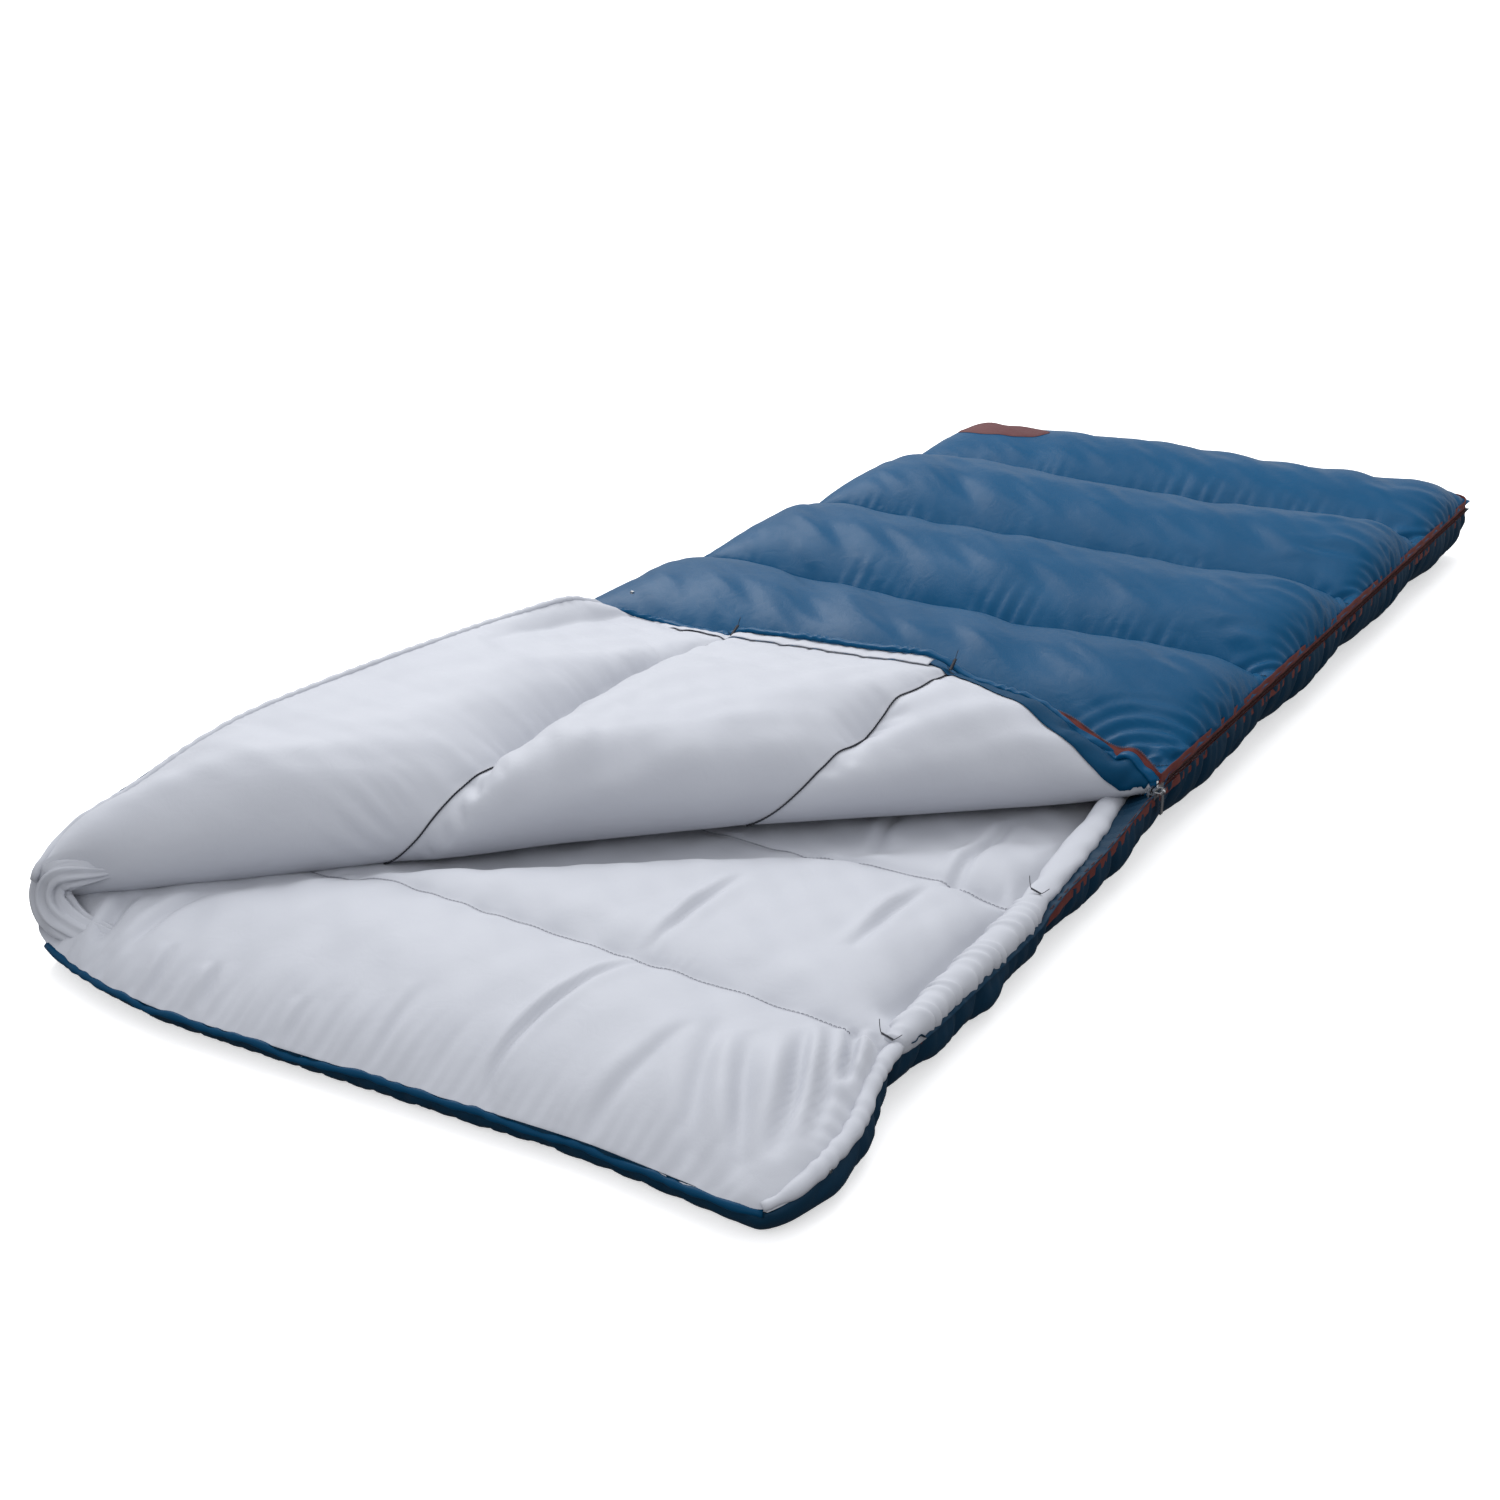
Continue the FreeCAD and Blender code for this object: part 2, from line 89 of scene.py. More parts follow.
def relax(P, inv, B, gu, gv, steps, push, iters=4, shear=0.3, bend=0.15, damp=0.9, hmax=None, hmin=None):
    """Grid cloth: P (3, nu, nv), inv 0 where it is sewn down, rest lengths those of B times gu, gv, filled from inside by push."""
    Lu = dist(B[:, 1:], B[:, :-1]) * (gu[1:] + gu[:-1]) / 2
    Lv = dist(B[:, :, 1:], B[:, :, :-1]) * (gv[:, 1:] + gv[:, :-1]) / 2
    gm = ((gu + gv) / 2)[1:, 1:]
    La = dist(B[:, 1:, 1:], B[:, :-1, :-1]) * gm
    Lb = dist(B[:, 1:, :-1], B[:, :-1, 1:]) * gm
    L2u = dist(B[:, 2:], B[:, :-2]) * gu[1:-1]
    L2v = dist(B[:, :, 2:], B[:, :, :-2]) * gv[:, 1:-1]
    P = P.astype(np.float32).copy()
    V = np.zeros_like(P)
    inv = inv.astype(np.float32)
    jobs = []
    nu, nv = inv.shape

    def add(sa, sb, length, k):
        wa, wb = inv[sa], inv[sb]
        t = np.where(wa + wb > 0, wa + wb, 1)
        kk = k[sa] if isinstance(k, np.ndarray) else k
        jobs.append(((slice(None),) + sa, (slice(None),) + sb, np.ascontiguousarray(length).astype(np.float32),
                     (kk * wa / t).astype(np.float32), (kk * wb / t).astype(np.float32)))

    def pairs(n, s):
        return [slice(c, n - s, 2 * s) for c in range(2 * s) if len(range(c, n - s, 2 * s))]

    for sl in pairs(nu, 1):
        add((sl, slice(None)), (slice(sl.start + 1, sl.stop + 1, 2), slice(None)), Lu[sl, :], 1.0)
    for sl in pairs(nv, 1):
        add((slice(None), sl), (slice(None), slice(sl.start + 1, sl.stop + 1, 2)), Lv[:, sl], 1.0)
    for sl in pairs(nu, 1):
        sb = slice(sl.start + 1, sl.stop + 1, 2)
        add((sl, slice(0, nv - 1)), (sb, slice(1, nv)), La[sl, :], shear)
        add((sl, slice(1, nv)), (sb, slice(0, nv - 1)), Lb[sl, :], shear)
    if bend > 0:
        for sl in pairs(nu, 2):
            add((sl, slice(None)), (slice(sl.start + 2, sl.stop + 2, 4), slice(None)), L2u[sl, :], bend)
        for sl in pairs(nv, 2):
            add((slice(None), sl), (slice(None), slice(sl.start + 2, sl.stop + 2, 4)), L2v[:, sl], bend)
    for step in range(steps):
        du, dv = np.empty_like(P), np.empty_like(P)
        du[:, 1:-1] = P[:, 2:] - P[:, :-2]; du[:, 0] = P[:, 1] - P[:, 0]; du[:, -1] = P[:, -1] - P[:, -2]
        dv[:, :, 1:-1] = P[:, :, 2:] - P[:, :, :-2]; dv[:, :, 0] = P[:, :, 1] - P[:, :, 0]; dv[:, :, -1] = P[:, :, -1] - P[:, :, -2]
        N = np.stack([du[1] * dv[2] - du[2] * dv[1], du[2] * dv[0] - du[0] * dv[2], du[0] * dv[1] - du[1] * dv[0]])
        N /= np.sqrt((N * N).sum(0)) + 1e-9
        old = P.copy()
        V += N * push * inv
        P += V
        for _ in range(iters):
            for sa, sb, length, ka, kb in jobs:
                D = P[sb] - P[sa]
                d = np.sqrt(D[0] * D[0] + D[1] * D[1] + D[2] * D[2]) + 1e-9
                c = (d - length) / d
                P[sa] += D * (c * ka)
                P[sb] -= D * (c * kb)
            if hmax is not None:
                np.minimum(P[2], hmax, out=P[2])
            if hmin is not None:
                np.maximum(P[2], hmin, out=P[2])
        V = (P - old) * damp
    return P


def finer(A, nu2, nv2):
    def along(A, n2, axis):
        n = A.shape[axis]
        x = np.linspace(0, n - 1, n2)
        i = np.minimum(x.astype(int), n - 2)
        f = x - i
        sh = [1] * A.ndim; sh[axis] = n2; f = f.reshape(sh)
        if n < 4:
            return np.take(A, i, axis) * (1 - f) + np.take(A, i + 1, axis) * f
        p0, p1 = np.take(A, np.maximum(i - 1, 0), axis), np.take(A, i, axis)
        p2, p3 = np.take(A, i + 1, axis), np.take(A, np.minimum(i + 2, n - 1), axis)
        return p1 + 0.5 * f * (p2 - p0 + f * (2 * p0 - 5 * p1 + 4 * p2 - p3 + f * (3 * (p1 - p2) + p3 - p0)))
    return along(along(A, nu2, 1), nv2, 2)


def cloth(u0, u1, v0, v1, base, pin, gu, gv, seed, levels=(0.02, 0.01, 0.005), steps=(50, 50, 60), push=0.010,
          rough=0.15, hmax=None, hmin=None, bend=0.15, shear=0.3):
    """base(U, V) gives the sewn shape; the cloth is cut larger than it by gu, gv, then filled and left to settle, coarse to fine."""
    D = None
    for dx, st in zip(levels, steps):
        nu, nv = int(round((u1 - u0) / dx)) + 1, int(round((v1 - v0) / dx)) + 1
        U, V = np.meshgrid(np.linspace(u0, u1, nu), np.linspace(v0, v1, nv), indexing="ij")
        B = base(U, V)
        inv = 1.0 - pin(U, V, dx)
        D = np.zeros_like(B) if D is None else finer(D, nu, nv)
        D *= np.where(inv > 0, 1, 0)
        rng = np.random.RandomState(seed)
        P = B + D
        P[2] += (rng.rand(nu, nv) - 0.5) * dx * 2 * rough * inv
        P = relax(P, inv, B, gu(U, V), gv(U, V), st, push * dx, hmax=None if hmax is None else hmax(U, V).astype(np.float32),
                  hmin=None if hmin is None else hmin(U, V).astype(np.float32), bend=bend, shear=shear)
        D = P - B
    return U, V, P.astype(float)


# ---------------------------------------------------------------- meshes
USED = {}


def mesh_object(name, verts, faces, mats=(), uv=None, smooth=True, fmat=None):
    verts = np.asarray(verts, float) + OFF
    faces = np.asarray(faces, np.int64)
    used = np.unique(faces)
    USED[name] = used
    back = np.full(len(verts), -1, np.int64); back[used] = np.arange(len(used))
    verts, faces = verts[used], back[faces]
    m = bpy.data.meshes.new(name)
    m.vertices.add(len(verts)); m.vertices.foreach_set("co", verts.astype(np.float32).ravel())
    nf, k = faces.shape
    m.loops.add(nf * k); m.loops.foreach_set("vertex_index", faces.astype(np.int32).ravel())
    m.polygons.add(nf)
    m.polygons.foreach_set("loop_start", (np.arange(nf) * k).astype(np.int32))
    for a in mats:
        m.materials.append(a)
    if fmat is not None:
        m.polygons.foreach_set("material_index", np.asarray(fmat, np.int32))
    m.update(calc_edges=True)
    m.validate()
    if smooth:
        m.polygons.foreach_set("use_smooth", np.ones(nf, bool))
    if uv is not None:
        uv = np.asarray(uv, float)[used]
        layer = m.uv_layers.new(name="cloth")
        layer.data.foreach_set("uv", uv[faces.ravel()].astype(np.float32).ravel())
    o = bpy.data.objects.new(name, m)
    bpy.context.scene.collection.objects.link(o)
    return o


def grid_faces(nu, nv, keep=None, flip=False):
    i, j = np.meshgrid(np.arange(nu - 1), np.arange(nv - 1), indexing="ij")
    a = i * nv + j
    F = np.stack([a, a + nv, a + nv + 1, a + 1], -1)
    if flip:
        F = F[..., ::-1]
    F = F.reshape(-1, 4)
    return F if keep is None else F[keep.reshape(-1)]


def grid_object(name, P, U, V, mats, keep=None, flip=False):
    nu, nv = P.shape[1:]
    return mesh_object(name, P.reshape(3, -1).T, grid_faces(nu, nv, keep, flip), mats, np.stack([U.ravel(), V.ravel()], -1))


def turn_with_flap(o, w=None):
    sx, sy = W + OX, 0.72 + OY
    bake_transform(o)
    co = np.empty(len(o.data.vertices) * 3, np.float32); o.data.vertices.foreach_get("co", co); co = co.reshape(-1, 3)
    g = ss(0.004, 0.085, np.hypot(co[:, 0] - sx, co[:, 1] - sy))
    g = g if w is None else g * np.asarray(w).ravel()[USED[o.name]]


# ---------------------------------------------------------------- materials
def srgb(r, g, b):
    f = lambda c: (c / 255 / 12.92) if c / 255 <= 0.04045 else ((c / 255 + 0.055) / 1.055) ** 2.4
    return (f(r), f(g), f(b), 1)


def fabric(name, col, col2, rough, weave=0.0008, weave_d=0.00006, sheen=0.0, sheen_r=0.4, sheen_t=(1, 1, 1, 1), spec=0.5, lumps=0.00035,
           mott=0.5, coord="uv", aniso=0.0):
    m = bpy.data.materials.new(name); m.use_nodes = True
    nt = m.node_tree; N = nt.nodes; N.clear(); Lk = nt.links.new
    out = N.new("ShaderNodeOutputMaterial"); b = N.new("ShaderNodeBsdfPrincipled"); Lk(b.outputs[0], out.inputs[0])
    b.inputs["Roughness"].default_value = rough
    b.inputs["Specular IOR Level"].default_value = spec
    b.inputs["Sheen Weight"].default_value = sheen
    b.inputs["Sheen Roughness"].default_value = sheen_r
    b.inputs["Sheen Tint"].default_value = sheen_t
    tc = N.new("ShaderNodeTexCoord")
    src = tc.outputs["UV"] if coord == "uv" else tc.outputs["Object"]
    big = N.new("ShaderNodeTexNoise"); big.inputs["Scale"].default_value = 9; big.inputs["Detail"].default_value = 3
    Lk(tc.outputs["Object"], big.inputs["Vector"])
    fine = N.new("ShaderNodeTexNoise"); fine.inputs["Scale"].default_value = 900; fine.inputs["Detail"].default_value = 2
    Lk(tc.outputs["Object"], fine.inputs["Vector"])
    add = N.new("ShaderNodeMath"); add.operation = "MULTIPLY_ADD"; add.inputs[1].default_value = 0.35
    Lk(fine.outputs["Fac"], add.inputs[0]); Lk(big.outputs["Fac"], add.inputs[2])
    mp = N.new("ShaderNodeMapRange"); mp.inputs["From Min"].default_value = 0.67 - 0.35 * 1.0; mp.inputs["From Max"].default_value = 0.67 + 0.35
    mp.inputs["To Min"].default_value = 0.5 - mott / 2; mp.inputs["To Max"].default_value = 0.5 + mott / 2
    Lk(add.outputs[0], mp.inputs["Value"])
    mx = N.new("ShaderNodeMix"); mx.data_type = "RGBA"; mx.inputs["A"].default_value = col; mx.inputs["B"].default_value = col2
    Lk(mp.outputs["Result"], mx.inputs["Factor"]); Lk(mx.outputs["Result"], b.inputs["Base Color"])
    # plain weave: two crossed thread waves
    waves = []
    for d in ("X", "Y"):
        w = N.new("ShaderNodeTexWave"); w.wave_type = "BANDS"; w.bands_direction = d; w.wave_profile = "SIN"
        w.inputs["Scale"].default_value = 0.314 / weave / 1.0; w.inputs["Distortion"].default_value = 0.6
        w.inputs["Detail"].default_value = 1; w.inputs["Detail Scale"].default_value = 0.5
        Lk(src, w.inputs["Vector"]); waves.append(w)
    wm = N.new("ShaderNodeMath"); wm.operation = "MAXIMUM"; Lk(waves[0].outputs["Fac"], wm.inputs[0]); Lk(waves[1].outputs["Fac"], wm.inputs[1])
    bw = N.new("ShaderNodeBump"); bw.inputs["Distance"].default_value = weave_d; bw.inputs["Strength"].default_value = 0.6
    Lk(wm.outputs[0], bw.inputs["Height"])
    cr = N.new("ShaderNodeTexNoise"); cr.inputs["Scale"].default_value = 38; cr.inputs["Detail"].default_value = 5; cr.inputs["Roughness"].default_value = 0.55
    cr.inputs["Distortion"].default_value = 0.6
    Lk(tc.outputs["Object"], cr.inputs["Vector"])
    bl = N.new("ShaderNodeBump"); bl.inputs["Distance"].default_value = lumps * 10; bl.inputs["Strength"].default_value = 0.25
    Lk(cr.outputs["Fac"], bl.inputs["Height"]); Lk(bw.outputs["Normal"], bl.inputs["Normal"])
    Lk(bl.outputs["Normal"], b.inputs["Normal"])
    rr = N.new("ShaderNodeMapRange"); rr.inputs["To Min"].default_value = rough - 0.05; rr.inputs["To Max"].default_value = rough + 0.06
    Lk(cr.outputs["Fac"], rr.inputs["Value"]); Lk(rr.outputs["Result"], b.inputs["Roughness"])
    return m


M_SHELL = fabric("shell_taffeta", srgb(0, 62, 98), srgb(3, 73, 112), 0.36, sheen=0.0, spec=0.09)
# the blue shell cloth painted somewhat darker: painted shade for the flap's facing strip and the head hem, which lie
# partly in shade
M_SHELL_PAINTED_HALF_SHADE = fabric("shell_painted_half_shade", srgb(0, 52, 82), srgb(4, 61, 94), 0.46, sheen=0.0, spec=0.075)
M_LINING = fabric("lining_polyester", srgb(173, 176, 185), srgb(183, 186, 194), 0.60, sheen=0.12, sheen_r=0.5, spec=0.3, lumps=0.00025)
# the blue shell cloth painted much darker: painted shade for the bottom quilt's outer cloth and the inner zip facing,
# which lie in shade all round
M_SHELL_PAINTED_SHADE = fabric("shell_painted_shade", srgb(4, 37, 58), srgb(12, 49, 72), 0.55, spec=0.12)
M_TAPE = fabric("zip_tape_rust", srgb(78, 27, 24), srgb(104, 38, 31), 0.7, weave=0.0012, weave_d=0.00015, sheen=0.15, sheen_t=srgb(200, 150, 140), spec=0.3, coord="obj")
M_PATCH = fabric("patch_rust", srgb(72, 33, 38), srgb(90, 43, 45), 0.65, weave=0.0010, weave_d=0.0001, coord="obj", spec=0.3)
M_THREAD = fabric("thread_dark", srgb(24, 26, 34), srgb(40, 42, 52), 0.6, weave=0.0008, weave_d=0.0001, coord="obj", spec=0.3)
M_THREAD_PALE = fabric("thread_pale", srgb(104, 106, 118), srgb(120, 122, 134), 0.6, weave=0.0008, weave_d=0.0001, coord="obj", spec=0.3)
M_FILL = fabric("wadding", srgb(232, 232, 228), srgb(240, 240, 236), 0.9, weave=0.004, weave_d=0.0004, coord="obj", spec=0.2)


def plastic(name, col, rough):
    m = bpy.data.materials.new(name); m.use_nodes = True
    nt = m.node_tree; b = nt.nodes["Principled BSDF"]
    b.inputs["Roughness"].default_value = rough
    n = nt.nodes.new("ShaderNodeTexNoise"); n.inputs["Scale"].default_value = 700; n.inputs["Detail"].default_value = 3
    r = nt.nodes.new("ShaderNodeValToRGB")
    r.color_ramp.elements[0].color = tuple(c * 0.8 for c in col[:3]) + (1,); r.color_ramp.elements[1].color = tuple(min(1, c * 1.15) for c in col[:3]) + (1,)
    tc = nt.nodes.new("ShaderNodeTexCoord"); nt.links.new(tc.outputs["Object"], n.inputs["Vector"])
    nt.links.new(n.outputs["Fac"], r.inputs["Fac"]); nt.links.new(r.outputs["Color"], b.inputs["Base Color"])
    bp = nt.nodes.new("ShaderNodeBump"); bp.inputs["Distance"].default_value = 0.00005; nt.links.new(n.outputs["Fac"], bp.inputs["Height"])
    nt.links.new(bp.outputs["Normal"], b.inputs["Normal"])
    return m


def metal(name, col, rough):
    m = bpy.data.materials.new(name); m.use_nodes = True
    nt = m.node_tree; b = nt.nodes["Principled BSDF"]
    b.inputs["Metallic"].default_value = 1
    b.inputs["Base Color"].default_value = col
    n = nt.nodes.new("ShaderNodeTexNoise"); n.inputs["Scale"].default_value = 260; n.inputs["Detail"].default_value = 4
    tc = nt.nodes.new("ShaderNodeTexCoord"); nt.links.new(tc.outputs["Object"], n.inputs["Vector"])
    r = nt.nodes.new("ShaderNodeMapRange"); r.inputs["To Min"].default_value = rough - 0.08; r.inputs["To Max"].default_value = rough + 0.12
    nt.links.new(n.outputs["Fac"], r.inputs["Value"]); nt.links.new(r.outputs["Result"], b.inputs["Roughness"])
    mx = nt.nodes.new("ShaderNodeMix"); mx.data_type = "RGBA"; mx.inputs["A"].default_value = col
    mx.inputs["B"].default_value = tuple(c * 0.75 for c in col[:3]) + (1,)
    nt.links.new(n.outputs["Fac"], mx.inputs["Factor"]); nt.links.new(mx.outputs["Result"], b.inputs["Base Color"])
    bp = nt.nodes.new("ShaderNodeBump"); bp.inputs["Distance"].default_value = 0.00006; nt.links.new(n.outputs["Fac"], bp.inputs["Height"])
    nt.links.new(bp.outputs["Normal"], b.inputs["Normal"])
    return m


M_COIL = plastic("zip_coil_nylon", srgb(70, 26, 24), 0.4)
M_METAL = metal("slider_nickel", srgb(205, 207, 210), 0.25)

# ---------------------------------------------------------------- shapes measured on the bag
HEAD_X = [-0.02, 0.02, 0.074, 0.14, 0.207, 0.307, 0.392, 0.461, 0.512, 0.56, 0.639, 0.717, 0.769, 0.788, 0.80]
HEAD_Y = [-0.004, -0.016, -0.034, -0.046, -0.050, -0.044, -0.038, -0.032, -0.030, -0.027, -0.022, -0.026, -0.030, -0.031, -0.025]
HEM_U = [0, 0.012, 0.03, 0.054, 0.11, 0.17, 0.23, 0.28, 0.375, 0.46, 0.58, 0.71, 0.765, 0.80]
HEM_Z = [0.086, 0.094, 0.108, 0.119, 0.130, 0.146, 0.156, 0.159, 0.160, 0.160, 0.158, 0.153, 0.140, 0.120]
ZIP_V = [0, 0.06, 0.115, 0.17, 0.275, 0.37, 0.44, 0.51, 0.58, 0.654, 0.69, 0.707, 0.72]
ZIP_Z = [0.118, 0.113, 0.112, 0.116, 0.128, 0.137, 0.146, 0.139, 0.134, 0.113, 0.098, 0.090, 0.084]
ROLL_T = [-0.1, 0, 0.135, 0.27, 0.484, 0.605, 0.71, 0.807, 0.888, 0.996, 1.04, 1.076]
ROLL_R = [0.030, 0.031, 0.040, 0.043, 0.054, 0.053, 0.046, 0.040, 0.034, 0.025, 0.015, 0.008]
ROLL_C = [0.078, 0.079, 0.087, 0.091, 0.104, 0.103, 0.096, 0.089, 0.084, 0.079, 0.078, 0.078]
ROLL_Q = [0.016, 0.018, 0.032, 0.044, 0.058, 0.060, 0.059, 0.055, 0.049, 0.034, 0.020, 0.010]


def smooth_tab(x, xs, ys, r=0.02):
    return (np.interp(x - r, xs, ys) + 2 * np.interp(x, xs, ys) + np.interp(x + r, xs, ys)) / 4


def fold(U, V):
    return -TA[1] * U + TA[0] * V, TA[0] * U + TA[1] * V


def interface(q, t, x, y):
    z = tab(t, [-0.2, 0, 0.03, 0.08, 0.2, 0.9, 1.0, 1.05, 1.08, 1.5], [0.080, 0.080, 0.086, 0.094, 0.098, 0.099, 0.096, 0.089, 0.084, 0.084])
    return z + 0.0022 * wav(x, y, 0.16, 71) * ss(0.05, 0.12, q)


def corner_round(U, V, r=0.07, k=0.30):
    """The cut corner of the flap is rounded: points near (0.8, 0) move in."""
    a, b = np.clip(1 - (W - U) / r, 0, 1), np.clip(1 - V / r, 0, 1)
    s = a * b * r * k
    return U - s, V + s


def panel(V, edges):
    """0 at each seam, 1 at the middle of each panel, and the panel's number."""
    e = np.array(edges)
    i = np.clip(np.searchsorted(e, V, side="right") - 1, 0, len(e) - 2)
    f = (V - e[i]) / (e[i + 1] - e[i])
    return 1 - np.abs(2 * f - 1) ** 1.9, i, f


TOP_EDGES = [0.0] + SEAMS + [L]
TOP_H = [0.025, 0.030, 0.030, 0.036, 0.038, 0.040, 0.042]


def near_seam(V, dx, seams=SEAMS):
    m = np.zeros_like(V)
    for s in seams:
        m = np.maximum(m, (np.abs(V - s) < dx * 0.501).astype(float))
    return m


def seam_dist(V, seams=SEAMS):
    return np.min([np.abs(V - s) for s in seams], axis=0)


# ---- S1: outer shell of the top quilt, flap included
def top_base(U, V):
    q, t = fold(U, V)
    closed = (q > 0) | (U < 0)
    # closed part
    zs = 0.072 + 0.024 * (1 - ss(0.0, 0.42, U)) + 0.003 * ss(0.5, 0.8, U) + 0.012 * np.exp(-((V - 0.77) / 0.10) ** 2) * (1 - 0.95 * np.clip(U, 0, W) / W)
    zs = zs + 0.0015 * wav(U, V, 0.35, 12)
    p, i, f = panel(V, TOP_EDGES)
    h = np.array(TOP_H)[i] * p
    h = h * (1 - 0.22 * ss(0.25, 0.7, U) * (i == 6)) * (1 + 0.08 * wav(U, V, 0.45, 8)) * (0.10 + 0.90 * ss(0.0, 0.42, U))
    zip_z = 0.0830
    er = ss(0.735, 0.80, U)
    ef = ss(1.835, 1.90, V)
    zc = mix(zs, zip_z, np.maximum(er, ef))
    hh = h * (1 - er ** 2.5) * np.sqrt(np.clip((W - U) / 0.05, 0, 1) * (2 - np.clip((W - U) / 0.05, 0, 1)))
    r = 0.040
    s = np.clip(0.045 - U, 0, None)
    ang = np.minimum(s / r, math.pi)
    left = s > 0
    ztop = zc + hh
    # left wrap: half round from the top of the seam line to the ground, puffed by the same filling
    cz = zc - r
    rad = r + 0.55 * h * np.clip(np.sin(ang * 0.9 + 0.35), 0.15, 1) * (1 - ss(2.4, 3.14, ang))
    xl = 0.045 - rad * np.sin(ang)
    zl = cz + (r + hh * np.clip(np.cos(ang), 0, 1)) * np.cos(ang)
    flat = np.maximum(s - math.pi * r, 0)
    xl = np.where(s > math.pi * r, 0.045 + flat, xl)
    zl = np.where(s > math.pi * r * 0.5, cz + (cz - 0.0012) * np.cos(ang), zl)
    x = np.where(left, xl, U); z = np.where(left, zl, ztop)
    y = V + 0.0
    # a slim inset near the zip so that the puffs can overhang it
    x = np.where(U > 0.7, x + 0.0010 * er + 0.023 * p * (er * (1 - er) * 4), x)
    y = np.where(V > 1.80, y - 0.003 * ef + 0.014 * (ef * (1 - ef) * 4) * np.clip(np.sin(np.clip(U, 0, W) * math.pi / W), 0.2, 1), y)
    x = x + 0.006 * p * ss(0.5, 0.8, U) * 0
    zi = interface(np.abs(q), t, U, V)
    # close to the fold and under the flap
    under = (V < 0.77) & closed
    m = ss(0.02, 0.12, q)
    zcl = np.where(under & (U > 0.0), mix(zi - 0.0025 * ss(0, 0.03, q), np.minimum(z, zi - 0.003), m), z)
    dq = 0.034 * np.exp(-(q / 0.035) ** 2)
    ends = ss(0.0, 0.05, U) * ss(0.0, 0.04, FL - t)
    xcl = np.where(under, x + NA[0] * dq * ends, x)
    ycl = np.where(under, y + NA[1] * dq * ends, y)
    # flap part, turned over the fold line
    Uc, Vc = corner_round(U, V)
    qc, tc = fold(Uc, Vc)
    a = -qc
    xf = Uc + 2 * a * NA[0] + NA[0] * dq * ends
    yf = Vc + 2 * a * NA[1] + NA[1] * dq * ends
    ze = hem_zip_z(U, V)
    zfi = zi + 0.0025 * ss(0, 0.03, a)
    seamup = 0.002 * np.exp(-(seam_dist(V, SEAMS[:2]) / 0.018) ** 2) * ss(0.03, 0.10, a)
    dh = ss(0.07, 0.0, V) * ss(0.02, 0.10, U); dz = ss(0.075, 0.0, W - U) * ss(0.0, 0.06, 0.72 - V)
    zf = mix(zfi + seamup, ze, np.maximum(dh, dz))
    x = np.where(closed, xcl, xf); y = np.where(closed, ycl, yf); z = np.where(closed, zcl, zf)
    return np.stack([x, y, z])


def hem_zip_z(U, V):
    """Height of the flap's edge nearest to a point of the flap."""
    zh, zz = smooth_tab(U, HEM_U, HEM_Z, 0.015), smooth_tab(V, ZIP_V, ZIP_Z, 0.012)
    a, b = np.clip(V, 1e-4, None), np.clip(W - U, 1e-4, None)
    w = b ** 2 / (a ** 2 + b ** 2)
    return mix(zz, zh, w)


def top_pin(U, V, dx):
    q, t = fold(U, V)
    m = near_seam(V, dx)
    m = np.maximum(m, (U > W - dx * 0.5)); m = np.maximum(m, V > L - dx * 0.5)
    m = np.maximum(m, U < -0.08 + dx * 0.5); m = np.maximum(m, V < dx * 0.5)
    m = np.maximum(m, (np.abs(q) < 0.032) & (V < 0.78) & (U >= 0))
    return m.astype(float)


def top_gu(U, V):
    d = seam_dist(V)
    g = 1.005 + 0.026 * np.exp(-d / 0.028) * (1 + 0.8 * wav(U, V * 0.25, 0.13, 3)) + 0.010 * wav(U, V, 0.16, 4)
    g = 1 + (g - 1) * (0.25 + 0.75 * ss(0.0, 0.12, U))
    g = g + 0.05 * ss(0.70, 0.79, U) + 0.02 * ss(1.82, 1.89, V)
    return np.clip(g, 0.995, 1.12)


def top_gv(U, V):
    g = 1.011 + 0.007 * wav(U, V, 0.16, 5) + 0.035 * ss(0.72, 0.79, U) - 0.010 * ss(0.30, 0.05, U) - 0.007 * ss(1.64, 1.68, V) * ss(0.45, 0.25, U)
    return np.clip(g, 0.998, 1.09)


def top_hmax(U, V):
    q, t = fold(U, V)
    zi = interface(np.abs(q), t, U, V)
    under = (V < 0.765) & (q > 0) & (U > 0.0) & (U > 0.105 * V)
    return np.where(under, zi - 0.0022, np.where((q <= 0) & (U > 0), top_base(U, V)[2] + 0.003, 1.0))


def top_hmin(U, V):
    q, t = fold(U, V)
    zi = interface(np.abs(q), t, U, V)
    return np.where((q < 0) & (U >= 0), zi + 0.0022, 0.0006)


# ---- S2: lining of the flap and the roll at the fold
def flap_top_z(U, V):
    zh = smooth_tab(U, HEM_U, HEM_Z, 0.015)
    s0 = 0.112 + 0.010 * ss(0.35, 0.75, U)
    s1 = tab(U, [0.5, 0.617, 0.65, 0.695, 0.75, 0.8], [0.118, 0.123, 0.136, 0.147, 0.149, 0.146])
    f0, f1, f2 = np.clip(V / 0.18, 0, 1), np.clip((V - 0.18) / 0.295, 0, 1), np.clip((V - 0.475) / 0.245, 0, 1)
    z0 = mix(zh, s0, f0 ** 1.35) + 0.010 * (1 - np.abs(2 * f0 - 1) ** 2.2)
    z1 = mix(s0, s1, f1) + (0.038 - 0.020 * ss(0.50, 0.8, U)) * (1 - np.abs(2 * f1 - 1) ** 2.2)
    s2 = 0.085
    z2 = mix(s1, s2, f2 ** 1.6) + 0.020 * (1 - np.abs(2 * f2 - 1) ** 2.2)
    z = np.where(V < 0.18, z0, np.where(V < 0.475, z1, z2))
    zz = smooth_tab(V, ZIP_V, ZIP_Z, 0.012)
    return mix(z, zz + 0.001, ss(0.66, 0.80, U) ** 0.8 * ss(0, 0.05, V + 0.05))


